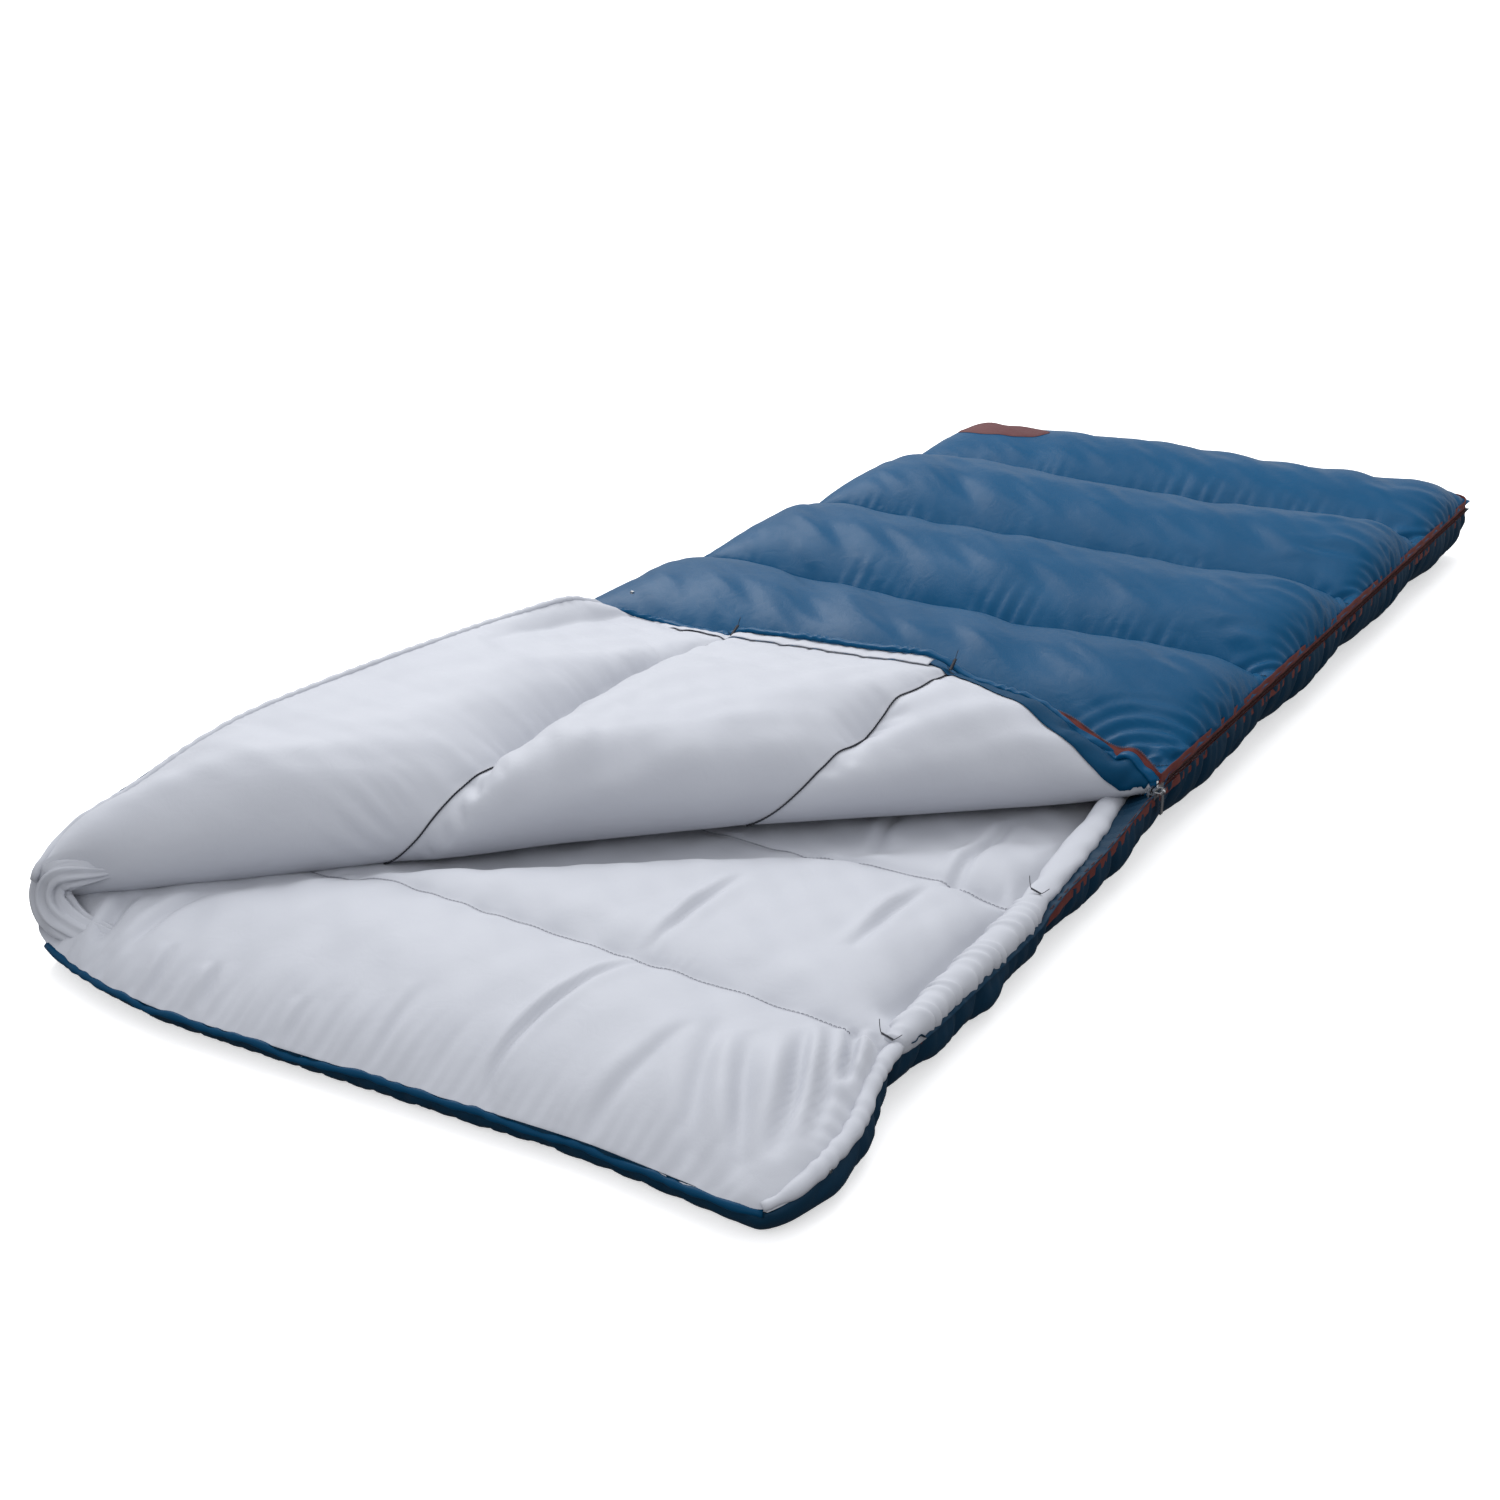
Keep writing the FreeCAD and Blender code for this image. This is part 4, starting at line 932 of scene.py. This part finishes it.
def stitches(path, lift, length=0.0030, gap=0.0014, r=0.00036):
    """Lockstitch thread: short rounded dashes that dip into the cloth at both ends."""
    s = arc(path); out = []
    k = np.arange(0, s[-1] - length, length + gap)
    for a in k:
        q = a + np.linspace(0, 1, 5) * length
        p = np.stack([np.interp(q, s, path[:, c]) for c in range(3)], 1)
        l = np.array([-0.0006, 0.0002, 0.0004, 0.0002, -0.0006])
        up = np.stack([np.interp(q, s, lift[:, c]) for c in range(3)], 1)
        p = p + up * l[:, None]
        sd, u = frames(p, up)
        out.append(sweep(p, sd, u, ring(4, r, r)))
    return join(out)


def put(o, body, slot, *nodes):
    if body == "flap":
        turn_with_flap(o)
    elif body:
        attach(o, body)
    if nodes:
        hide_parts(*nodes)
    return o


UPV = np.array([0, 0, 1.0])

# ---- zip line of the closed part and of the open bottom edge
def zip_path(y0, xend, z, step=0.006, x=0.7998, yf=1.8998, R=0.03):
    pts = [(x, y, z) for y in np.arange(y0, yf - R, step)]
    for a in np.linspace(0, math.pi / 2, 10):
        pts.append((x - R + R * math.cos(a), yf - R + R * math.sin(a), z))
    pts += [(xx, yf, z) for xx in np.arange(x - R - step, xend, -step)] + [(xend, yf, z)]
    return np.array(pts)


def outward(path):
    t = along(path)
    return unit(np.cross(t, UPV))


def slack(p):
    """The open edge lies slack below the slider's line: move the lower zip with it."""
    k = (p[:, 0] > 0.79) & (p[:, 1] < 1.0)
    y = p[:, 1]
    q = p.copy()
    q[:, 0] += np.where(k, edge_x(y) - 0.8012 + 0.0016 * ss(0.74, 0.70, y), 0)
    q[:, 0] -= np.where(k, 0.0042 * ss(0.50, 0.42, y), 0)
    q[:, 2] += np.where(k, edge_z(y) - 0.0712, 0)
    return q


zb, zt_ = slack(zip_path(0.026, 0.014, 0.0657)), zip_path(0.726, 0.024, 0.0843)
wave_b = 0.0007 * np.sin(arc(zb) / 0.05 * math.tau) + 0.0005 * np.sin(arc(zb) / 0.021 * math.tau + 1)
tape_b = strip("zip_tape_lower", zb + outward(zb) * 0.0004, np.broadcast_to(UPV, zb.shape), 0.0115, 0.0009, M_TAPE, wave_b * 0.6)
put(tape_b, "bag", "zip_tape_fabric", "zip_tape_bottom")
tape_t = strip("zip_tape_upper", zt_ + outward(zt_) * 0.0004, np.broadcast_to(UPV, zt_.shape), 0.0115, 0.0009, M_TAPE, 0.0004 * np.sin(arc(zt_) / 0.04 * math.tau))
put(tape_t, "bag", "zip_tape_fabric", "zip_tape_top")
cb = slack(zip_path(0.030, 0.014, 0.0729)); ct = zip_path(0.732, 0.024, 0.0769)
v, f = coil(cb, np.broadcast_to(UPV, cb.shape), outward(cb)); o = mesh_object("zip_coil_lower", v, f, [M_COIL]); put(o, "bag", "zip_coil_plastic", "zip_coil_bottom")
v, f = coil(ct, np.broadcast_to(UPV, ct.shape), outward(ct)); o = mesh_object("zip_coil_upper", v, f, [M_COIL]); put(o, "bag", "zip_coil_plastic", "zip_coil_top")

# ---- draft tube: a slim filled tube of lining beside the open zip, gathered between the two tacks
ty = np.concatenate([np.arange(0.19, 0.74, 0.0022), np.arange(0.75, 1.85, 0.02)])
inn = tab(ty, [0.19, 0.204, 0.258, 0.317, 0.388, 0.463, 0.5, 0.569, 0.652, 0.737, 0.80, 1.9], [0.786, 0.783, 0.780, 0.778, 0.776, 0.774, 0.772, 0.763, 0.757, 0.748, 0.736, 0.736])
out_ = tab(ty, [0.19, 0.21, 0.3, 0.39, 0.455, 0.475, 0.50, 0.60, 0.64, 0.68, 0.737, 0.80, 1.9], [0.798, 0.803, 0.802, 0.802, 0.799, 0.792, 0.792, 0.784, 0.780, 0.772, 0.764, 0.760, 0.760])
ruf = ss(0.49, 0.46, ty) * ss(0.185, 0.205, ty)
zc_ = tab(ty, [0.19, 0.21, 0.46, 0.475, 0.60, 0.74, 0.8, 1.9], [0.0500, 0.0505, 0.0510, 0.0530, 0.0560, 0.0560, 0.055, 0.055])
hgt = tab(ty, [0.18, 0.21, 0.45, 0.475, 0.52, 0.70, 0.76, 1.9], [0.008, 0.0135, 0.0135, 0.0090, 0.0095, 0.0095, 0.0090, 0.0090])
m = 26
ang = np.arange(m) / m * math.tau
T, A = np.meshgrid(ty, ang, indexing="ij")
rip = np.sin(T / 0.0165 * math.tau + 1.9 * np.sin(T / 0.087 * 6.28) + 1.0 * np.sin(T / 0.041 * 6.28 + 1) - 2.6 * np.cos(A - 0.5)) * 0.5 + 0.5
rip = rip * (0.75 + 0.25 * np.sin(T / 0.061 * 6.28 + 2 + A))
rip = (rip ** 1.4 - 0.35) * ruf[:, None]
k = 1 + 0.19 * rip + 0.05 * wav(T, A * 0.02, 0.05, 51) * (1 - ruf[:, None])
cx = ((inn + out_) / 2)[:, None]; hw = ((out_ - inn) / 2 + 0.003)[:, None]
c, s_ = np.cos(A), np.sin(A)
X = cx + hw * k * np.sign(c) * np.abs(c) ** 0.9
Z = zc_[:, None] + hgt[:, None] * k * np.sign(s_) * np.abs(s_) ** 0.9
Y = T + 0.004 * rip * c
pts = np.stack([X, Y, Z], -1)
n = len(ty)
i = np.arange(n - 1)[:, None]; j = np.arange(m)[None, :]
a = i * m + j; b = i * m + (j + 1) % m
F = np.stack([b, a, a + m, b + m], -1).reshape(-1, 4)
ve = np.concatenate([pts.reshape(-1, 3), pts[0].mean(0)[None] - [0, 0.004, 0], pts[-1].mean(0)[None]])
j = np.arange(0, m, 2)
F = np.concatenate([F, np.stack([np.full(len(j), n * m), j, (j + 1) % m, (j + 2) % m], -1), np.stack([np.full(len(j), n * m + 1), (n - 1) * m + (j + 2) % m, (n - 1) * m + (j + 1) % m, (n - 1) * m + j], -1)])
uvt = np.concatenate([np.stack([A.ravel() * 0.012, T.ravel()], -1), [[0, 0.19], [0, 1.85]]])
draft = mesh_object("draft_tube", ve, F, [M_LINING], uvt)
put(draft, "bag", "lining_fabric", "draft_tube_cover", "draft_tube_filling")

# ---- blue facing strip between the draft tube and the open zip
fy = np.arange(0.20, 0.738, 0.003)
pk = np.sin(fy / 0.019 * math.tau + np.sin(fy / 0.07 * 6.28) * 1.5)
fa = np.stack([np.interp(fy, ty, (inn + out_) / 2 + 0.7 * (out_ - inn) / 2 + 0.003), fy, np.interp(fy, ty, zc_) - 0.004], 1)
fb_ = np.stack([edge_x(fy) + 0.0014, fy, edge_z(fy) + 0.0004], 1)
fp = (fa + fb_) / 2 + np.stack([0.0006 * pk, 0 * fy, 0.0010 * pk + 0.0022], 1)
# the inner facing takes the darker shell colour: painted shade
facing_low = strip("zip_facing_inner", fp, unit(fb_ - fa), np.maximum(np.linalg.norm(fb_ - fa, axis=1) + 0.003, 0.0105), 0.0010, M_SHELL_PAINTED_SHADE)
put(facing_low, "bag", "shell_fabric", "zip_facing_bottom_side")

# ---- flap zip edge
vv = np.arange(0.004, 0.7165, 0.003)
edge = soften(flap_at(np.full(len(vv), 0.80), vv), 3)
inner = soften(flap_at(np.full(len(vv), 0.785), vv), 3)
outd = unit((edge - inner) * [1, 1, 0.35])
pkr = np.sin(vv / 0.017 * math.tau + 1.7 * np.sin(vv / 0.06 * 6.28)) * 0.5 + 0.5
pkr = pkr * (0.6 + 0.4 * np.sin(vv / 0.13 * 6.28))
t_ = along(edge)
up_ = unit(np.cross(outd, t_)); up_ = up_ * np.sign(up_[:, 2:3])
# blue folded edge, puckered by its stitching
lift_ = ss(0.165, 0.20, vv) * ss(0.500, 0.455, vv)
fe = edge + outd * (0.0030 + 0.0012 * pkr)[:, None] + up_ * (0.0016 + 0.0014 * pkr)[:, None] + UPV * (0.0100 * lift_)[:, None]
sec = ring(10, 1, 1, 0.8)
v, f = sweep(fe, outd, up_, sec, np.stack([0.0052 + 0.0008 * pkr, 0.0026 + 0.0010 * pkr], 1))
flap_edge = mesh_object("flap_edge_binding", v, f, [M_SHELL]); put(flap_edge, "flap", "shell_fabric")


def flap_strip(name, ua, ub, vs, lift, mat, nu=5, pucker=0.0, rise=0.0):
    """A band of cloth sewn on the flap's lining, between cloth places ua(v) and ub(v)."""
    g = np.linspace(0, 1, nu)
    Vv, Gg = np.meshgrid(vs, g, indexing="ij")
    Uu = ua[:, None] * (1 - Gg) + ub[:, None] * Gg
    p = flap_at(Uu.ravel(), Vv.ravel()).reshape(len(vs), nu, 3)
    p = np.stack([soften(p[:, k], 2) for k in range(nu)], 1)
    nn = unit(np.cross(np.gradient(p, axis=0), np.gradient(p, axis=1))); nn = nn * np.sign(nn[..., 2:3])
    bulge = 4 * Gg * (1 - Gg)
    pk_ = np.sin(Vv / 0.02 * math.tau + 1.5 * np.sin(Vv / 0.07 * 6.28))
    p = p + nn * (lift + 0.0006 * bulge + pucker * pk_ * (0.3 + 0.7 * Gg))[..., None] + UPV * (rise * Gg ** 1.4 * ss(0.16, 0.20, Vv) * ss(0.50, 0.455, Vv))[..., None]
    lo_ = p - nn * 0.0006
    a_, b_ = p.reshape(-1, 3), lo_.reshape(-1, 3)
    n_ = len(vs)
    ii, jj = np.meshgrid(np.arange(n_ - 1), np.arange(nu - 1), indexing="ij")
    q0 = (ii * nu + jj).ravel(); N_ = n_ * nu
    Ft = np.stack([q0, q0 + nu, q0 + nu + 1, q0 + 1], -1); Fb = Ft[:, ::-1] + N_
    rim = []
    e1 = np.arange(n_ - 1) * nu
    rim.append(np.stack([e1, e1 + N_, e1 + nu + N_, e1 + nu], -1)); e2 = e1 + nu - 1
    rim.append(np.stack([e2 + nu, e2 + nu + N_, e2 + N_, e2], -1))
    k1 = np.arange(nu - 1); rim.append(np.stack([k1 + 1, k1 + 1 + N_, k1 + N_, k1], -1)); k2 = k1 + (n_ - 1) * nu
    rim.append(np.stack([k2, k2 + N_, k2 + 1 + N_, k2 + 1], -1))
    Vx = np.concatenate([a_, b_])
    return mesh_object(name, Vx, np.concatenate([Ft, Fb] + rim), [mat], np.concatenate([np.stack([Uu.ravel(), Vv.ravel()], -1)] * 2))


vs_ = np.arange(0.03, 0.455, 0.003)
band = flap_strip("flap_hem_band", np.full(len(vs_), 0.7845), np.full(len(vs_), 0.7990), vs_, 0.0024, M_LINING, 7, 0.0004, 0.0065)
put(band, "flap", "lining_fabric"); 
vs_ = np.arange(0.44, 0.714, 0.003)
wd = tab(vs_, [0.43, 0.47, 0.52, 0.58, 0.63, 0.68, 0.72], [0.004, 0.010, 0.020, 0.034, 0.040, 0.036, 0.020])
# the flap's facing strip takes the half-dark shell colour: painted shade
facing_f = flap_strip("flap_zip_facing_strip", 0.80 - wd, np.full(len(vs_), 0.8005), vs_, 0.0016, M_SHELL_PAINTED_HALF_SHADE, 9, 0.0006)
put(facing_f, "flap", "shell_fabric", "flap_zip_facing")

# flap zip tape and coil, outside the edge
tuck = ss(0.635, 0.555, vv)[:, None]
tp = edge + outd * (0.0080 - 0.0045 * tuck) + UPV * (0.0050 - 0.0120 * tuck)
tw = np.full(len(vv), 0.0115) * np.clip((0.722 - vv) / 0.03, 0.35, 1)
tp = soften(tp, 14)
tdir = unit(outd * 0.72 + UPV * (0.66 - 0.85 * tuck))
ft = strip("flap_zip_tape_strip", tp, tdir, tw, 0.0009, M_TAPE, 0.0005 * np.sin(vv / 0.02 * math.tau))
put(ft, "flap", "zip_tape_fabric", "flap_zip_tape")
cp = tp + tdir * (tw / 2)[:, None] - outd * 0.0010 * tuck
v, f = coil(cp[2:-1], tdir[2:-1], unit(np.cross(along(cp), tdir))[2:-1])
o = mesh_object("flap_zip_coil_strip", v, f, [M_COIL]); put(o, "flap", "zip_coil_plastic", "flap_zip_coil")

# ---- hems
hu = np.arange(0.0, 0.7995, 0.004)
hp = soften(flap_at(hu, np.zeros(len(hu))), 2)
sd, u_ = frames(hp, UPV)
pk2 = np.sin(hu / 0.021 * math.tau + 1.5 * np.sin(hu / 0.08 * 6.28)) * 0.5 + 0.5
v, f = sweep(hp, sd, u_, ring(10), np.stack([0.0036 + 0.0012 * pk2, 0.0030 + 0.0010 * pk2], 1))
o = hem_flap = mesh_object("flap_head_hem_roll", v, f, [M_LINING]); put(o, "flap", "lining_fabric", "flap_head_hem")
hx = np.arange(0.045, 0.7995, 0.004)
hp = soften(low_at(hx, np.zeros(len(hx))), 2)
sd, u_ = frames(hp, UPV)
pk2 = np.sin(hx / 0.024 * math.tau + 1.5 * np.sin(hx / 0.09 * 6.28)) * 0.5 + 0.5
v, f = sweep(hp - UPV * 0.002, sd, u_, ring(10), np.stack([0.0030 + 0.0010 * pk2, 0.0028 + 0.0010 * pk2], 1))
# the head hem takes the half-dark shell colour: painted shade on the same shell cloth
o = hem_head = mesh_object("head_hem_roll", v, f, [M_SHELL_PAINTED_HALF_SHADE]); put(o, "bag", "shell_fabric", "head_hem_bottom")

hv = np.arange(0.0, 0.20, 0.003)
hp = soften(low_at(np.full(len(hv), 0.80), hv), 2)
sd, u_ = frames(hp, UPV)
pk2 = np.sin(hv / 0.016 * math.tau + 1.5 * np.sin(hv / 0.05 * 6.28)) * 0.5 + 0.5
tp_ = ss(0.20, 0.17, hv)
end_ = ss(0.0, 0.03, hv) * 0.5 + 0.5
v, f = sweep(hp + np.array([-0.0045, 0, 0.0030]), sd, u_, ring(14), np.stack([(0.0045 + 0.0030 * tp_ + 0.0014 * pk2 * tp_) * end_, (0.0040 + 0.0024 * tp_ + 0.0012 * pk2 * tp_) * end_], 1))
o = hem_side = mesh_object("side_edge_roll", v, f, [M_LINING]); put(o, "bag", "lining_fabric")

# ---- the fold side's head end: gathered lining that wraps from the bottom quilt up into the turned-back roll
cpth = np.array([[0.125, 0.010, 0.012], [0.100, 0.000, 0.023], [0.074, -0.006, 0.028], [0.050, -0.008, 0.031], [0.028, -0.007, 0.036], [0.014, -0.006, 0.047], [0.008, -0.004, 0.060],
                 [0.009, -0.002, 0.073], [0.014, 0.000, 0.083], [0.023, 0.007, 0.090], [0.035, 0.020, 0.090], [0.046, 0.037, 0.087], [0.056, 0.053, 0.084]])
cpth = resample(soften(resample(cpth, 0.004), 4), 0.003)
nc = len(cpth); sc_ = arc(cpth) / arc(cpth)[-1]
ct_ = along(cpth)
toc = unit(np.array([0.044, 0.024, 0.066]) - cpth)
cs_ = unit(toc - ct_ * (toc * ct_).sum(1)[:, None])
cu_ = np.cross(cs_, ct_); cu_ = cu_ * np.sign(cu_ @ np.array([0.25, -1.0, 0.45]))[:, None]
cpth = cpth + cs_ * 0.0085
ca_ = np.arange(36) / 36 * math.tau
Sg, Ag = np.meshgrid(sc_, ca_, indexing="ij")
gat = 0.80 + 0.62 * np.abs(np.sin(4.5 * Ag + 2.4 * Sg + 0.8 * np.sin(7 * Sg))) ** 0.8 * ss(0.02, 0.25, Sg) * ss(1.0, 0.8, Sg) + 0.08 * np.sin(9 * Ag - 6 * Sg + 2 * np.sin(9 * Sg))
hwid = np.interp(sc_, [0, 0.25, 0.5, 0.75, 1], [0.007, 0.011, 0.0145, 0.0125, 0.006])[:, None]
hthk = np.interp(sc_, [0, 0.25, 0.5, 0.75, 1], [0.003, 0.0055, 0.0080, 0.0070, 0.003])[:, None]
cp_ = cpth[:, None, :] + cs_[:, None, :] * (np.cos(Ag) * hwid * gat)[..., None] + cu_[:, None, :] * (np.sin(Ag) * hthk * gat)[..., None]
i = np.arange(nc - 1)[:, None]; j = np.arange(36)[None, :]
a = i * 36 + j; b = i * 36 + (j + 1) % 36
F = np.stack([a, b, b + 36, a + 36], -1).reshape(-1, 4)
j = np.arange(0, 36, 2)
F = np.concatenate([F, np.stack([np.full(18, nc * 36), (j + 2) % 36, (j + 1) % 36, j], -1), np.stack([np.full(18, nc * 36 + 1), (nc - 1) * 36 + j, (nc - 1) * 36 + (j + 1) % 36, (nc - 1) * 36 + (j + 2) % 36], -1)])
ve = np.concatenate([cp_.reshape(-1, 3), cp_[0].mean(0)[None], cp_[-1].mean(0)[None]])
uvc = np.concatenate([np.stack([Ag.ravel() * 0.014, Sg.ravel() * 0.2], -1), [[0, 0], [0, 0.2]]])
corner_fold = mesh_object("fold_side_gather", ve, F, [M_LINING], uvc)
turn_with_flap(corner_fold, np.concatenate([0.5 * ss(0.35, 1.0, Sg).ravel(), [0, 0.5]]))

# ---- bottom stop of the zip, on the slack tape
zs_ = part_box("zip_stop_bottom")
st = np.array([[edge_x(0.029) + 0.0006 + d, 0.029, edge_z(0.029) + 0.0017] for d in np.linspace(-0.0016, 0.0022, 5)])
v, f = sweep(st, np.broadcast_to(np.array([0, 1.0, 0]), st.shape), np.broadcast_to(UPV, st.shape), ring(16, 0.0019, 0.0024, 0.6))
zstop = mesh_object("zip_stop_staple", v, f, [M_METAL]); put(zstop, "bag", "slider_metal", "zip_stop_bottom")

# ---- quilting thread
def seam_path(at, v0, ua, ub, step=0.002, lift=0.0008, sgn=1.0):
    u = np.arange(ua, ub, step)
    p = at(u, np.full(len(u), v0))
    pa, pb = at(u, np.full(len(u), v0 - 0.012)), at(u, np.full(len(u), v0 + 0.012))
    t = along(p); nrm = unit(np.cross(t, pb - pa)) * sgn
    return p + nrm * lift, nrm


parts = []
for sv in SEAMS[2:]:
    p, nrm = seam_path(top_at, sv, -0.03, 0.795)
    parts.append(stitches(p, nrm))
v, f = join(parts); o = mesh_object("quilting_thread_upper", v, f, [M_THREAD]); put(o, "bag", "thread", "quilting_thread_top")
parts = []
for sv in SEAMS[:2]:
    p, nrm = seam_path(low_at, sv, 0.06, 0.76)
    parts.append(stitches(p, nrm))
v, f = join(parts); o = mesh_object("quilting_thread_lower", v, f, [M_THREAD_PALE]); put(o, "bag", "thread", "quilting_thread_bottom")
parts = []
# flap seams: real dark thread, drawn thick so that its line also stands for painted shade in the seam valleys
for sv, ua in ((0.18, 0.155), (0.475, 0.47)):
    p, nrm = seam_path(flap_at, sv, ua, 0.797, sgn=-1.0, lift=0.0012)
    parts.append(stitches(p, nrm, length=0.0036, gap=0.0003, r=0.0009))
v, f = join(parts); o = mesh_object("flap_thread", v, f, [M_THREAD]); put(o, "flap", "thread", "flap_quilting_thread")


# ---- bar tacks: dense satin stitches with two loose ends
def bartack(p0, p1, nrm, width=0.0028, turns=26, tail_=0.010):
    d = unit(p1 - p0); sd = unit(np.cross(nrm, d))
    s = np.linspace(0, 1, turns * 4 + 1)
    path = p0 + (p1 - p0) * s[:, None] + sd * (np.sin(s * turns * math.tau) * width / 2)[:, None] + nrm * (0.0009 + 0.0003 * np.cos(s * turns * 2 * math.tau))[:, None]
    a_ = sweep(path, *frames(path, nrm), ring(5, 0.00045, 0.00045))
    e = []
    for q_, dd, bend_ in ((p0, -d, 0.3), (p1, d, -0.25)):
        k_ = np.linspace(0, 1, 9)
        tail = q_ + nrm * 0.0009 + (dd * 0.006 * k_[:, None]) + nrm * (tail_ * k_ ** 1.2)[:, None] + sd * (bend_ * 0.006 * k_ ** 2)[:, None]
        e.append(sweep(tail, *frames(tail, sd), ring(5, 0.00035, 0.00035)))
    return join([a_] + e)


tacks = []
for vv_, uu in ((0.18, 0.792), (0.475, 0.792)):
    c0 = edge[np.argmin(abs(vv - vv_))] + outd[np.argmin(abs(vv - vv_))] * 0.002
    away = unit(np.array([-0.25, 1.0, 0.0]))
    tacks.append(bartack(c0 - away * 0.014 + UPV * 0.0075, c0 + away * 0.010 + UPV * 0.0115, UPV, tail_=0.0070))
v, f = join(tacks); o = mesh_object("flap_tacks", v, f, [M_THREAD]); put(o, "flap", "thread", "flap_bar_tacks")
tacks = [bartack(np.array([0.779, 0.475, 0.0650]), np.array([0.789, 0.475, 0.0620]), unit(np.array([0.3, 0, 1.0])), turns=14),
         bartack(np.array([0.783, 0.186, 0.0600]), np.array([0.794, 0.186, 0.0570]), unit(np.array([0.3, 0, 1.0])), turns=14)]
v, f = join(tacks); o = mesh_object("draft_tube_tacks", v, f, [M_THREAD]); put(o, "bag", "thread", "bar_tacks_bottom")

# ---- corner patch: a plain oval with two rows of border stitching
rr, aa = np.meshgrid(np.linspace(0.02, 1, 16), np.linspace(0, math.tau, 97)[:-1], indexing="ij")
pu, pv = 0.118 + 0.076 * rr * np.cos(aa), 1.780 + 0.037 * rr * np.sin(aa)
pp = top_at(pu.ravel(), pv.ravel()).reshape(16, 96, 3)
pn = np.array([0, 0, 1.0]) + 0 * pp
liftp = 0.0016 - 0.0011 * ss(0.94, 1.0, rr) + 0.0005 * np.exp(-((rr - 0.90) / 0.03) ** 2) + 0.0005 * np.exp(-((rr - 0.72) / 0.025) ** 2)
pp[..., 2] += liftp
jj = np.arange(96); F = []
for i_ in range(15):
    F.append(np.stack([i_ * 96 + jj, (i_ + 1) * 96 + jj, (i_ + 1) * 96 + (jj + 1) % 96, i_ * 96 + (jj + 1) % 96], -1))
V_ = np.concatenate([pp.reshape(-1, 3), pp[0].mean(0)[None]])
j2 = np.arange(0, 96, 2); F.append(np.stack([np.full(48, 16 * 96), j2, j2 + 1, (j2 + 2) % 96], -1))
patch = mesh_object("corner_patch_oval", V_, np.concatenate(F), [M_PATCH]); put(patch, "bag", "patch_fabric", "corner_patch")

# CAD pieces that stay: metal and plastic fittings
for n_, mt in (("slider_body", M_METAL), ("outer_pull", M_METAL), ("inner_pull", M_METAL), ("flap_zip_stop", M_METAL),
               ("retaining_box", M_COIL), ("insertion_pin", M_COIL)):
    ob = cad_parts[n_]
    if not ob.material_slots:
        ob.data.materials.append(mt)
    for sl in ob.material_slots:
        sl.material = mt

round(float(arc(zb)[-1]), 3)
round(float(arc(zt_)[-1]), 3)

# ---------------------------------------------------------------- stage, light, camera
floor = bpy.data.meshes.new("floor")
floor.from_pydata([(-90, -90, 0), (90, -90, 0), (90, 90, 0), (-90, 90, 0)], [], [(0, 1, 2, 3)])
floor_o = bpy.data.objects.new("floor", floor); bpy.context.scene.collection.objects.link(floor_o)
fm = bpy.data.materials.new("floor_pale"); fm.use_nodes = True
fb = fm.node_tree.nodes["Principled BSDF"]
fb.inputs["Emission Color"].default_value = (1, 1, 1, 1); fb.inputs["Emission Strength"].default_value = 0.5
floor_o.visible_diffuse = False; floor_o.visible_glossy = False
fb.inputs["Base Color"].default_value = srgb(240, 240, 241); fb.inputs["Roughness"].default_value = 0.8; fb.inputs["Specular IOR Level"].default_value = 0.2
floor.materials.append(fm)
floor_o.location.z = -0.0006

world = bpy.data.worlds.new("studio"); bpy.context.scene.world = world; world.use_nodes = True
bg = world.node_tree.nodes["Background"]; bg.inputs[0].default_value = (0.97, 0.98, 1.0, 1); bg.inputs[1].default_value = 0.80
# the sky lights from above only; the ground gives nothing back, as in a cut-out studio shot
wn = world.node_tree
wtc = wn.nodes.new("ShaderNodeTexCoord"); wsp = wn.nodes.new("ShaderNodeSeparateXYZ"); wmr = wn.nodes.new("ShaderNodeMapRange")
wmr.inputs["From Min"].default_value = -0.35; wmr.inputs["From Max"].default_value = 0.15
wmr.inputs["To Min"].default_value = 0.10; wmr.inputs["To Max"].default_value = 0.80
wn.links.new(wtc.outputs["Generated"], wsp.inputs[0]); wn.links.new(wsp.outputs["Z"], wmr.inputs["Value"]); wn.links.new(wmr.outputs["Result"], bg.inputs[1])


def area(name, loc, target, size, power, col=(1, 1, 1)):
    l = bpy.data.lights.new(name, "AREA"); l.shape = "RECTANGLE"; l.size, l.size_y = size; l.energy = power; l.color = col
    o = bpy.data.objects.new(name, l); bpy.context.scene.collection.objects.link(o)
    o.location = loc
    o.rotation_mode = "QUATERNION"; o.rotation_quaternion = (Vector(target) - Vector(loc)).to_track_quat("-Z", "Y")
    return o


area("key", (-2.3, 1.4, 2.5), (0, 0.1, 0), (1.8, 1.8), 72)
area("top", (0.0, 0.8, 3.0), (0, 0, 0), (2.2, 2.2), 36)
area("fill", (0.4, -3.2, 1.9), (-0.1, -0.3, 0), (1.8, 1.2), 12)

az, el, roll = math.radians(32.466), math.radians(22.908), math.radians(-0.431)
cam = bpy.data.cameras.new("camera"); cam_o = bpy.data.objects.new("camera", cam); bpy.context.scene.collection.objects.link(cam_o)
cam.sensor_width = 36; cam.lens = 2079.955 / 1500 * 36; cam.clip_start = 0.05; cam.clip_end = 100
back = Vector((math.sin(az) * math.cos(el), -math.cos(az) * math.cos(el), math.sin(el)))
xa = Vector((0, 0, 1)).cross(back).normalized(); ya = back.cross(xa)
x2, y2 = xa * math.cos(roll) + ya * math.sin(roll), -xa * math.sin(roll) + ya * math.cos(roll)
R = Matrix((x2, y2, back)).transposed().to_4x4()
R.translation = Vector((1.47573 + OX, -1.09612 + OY, 0.92314))
cam_o.matrix_world = R
bpy.context.scene.camera = cam_o
bpy.context.scene.view_settings.view_transform = "Standard"
bpy.context.scene.view_settings.look = "None"
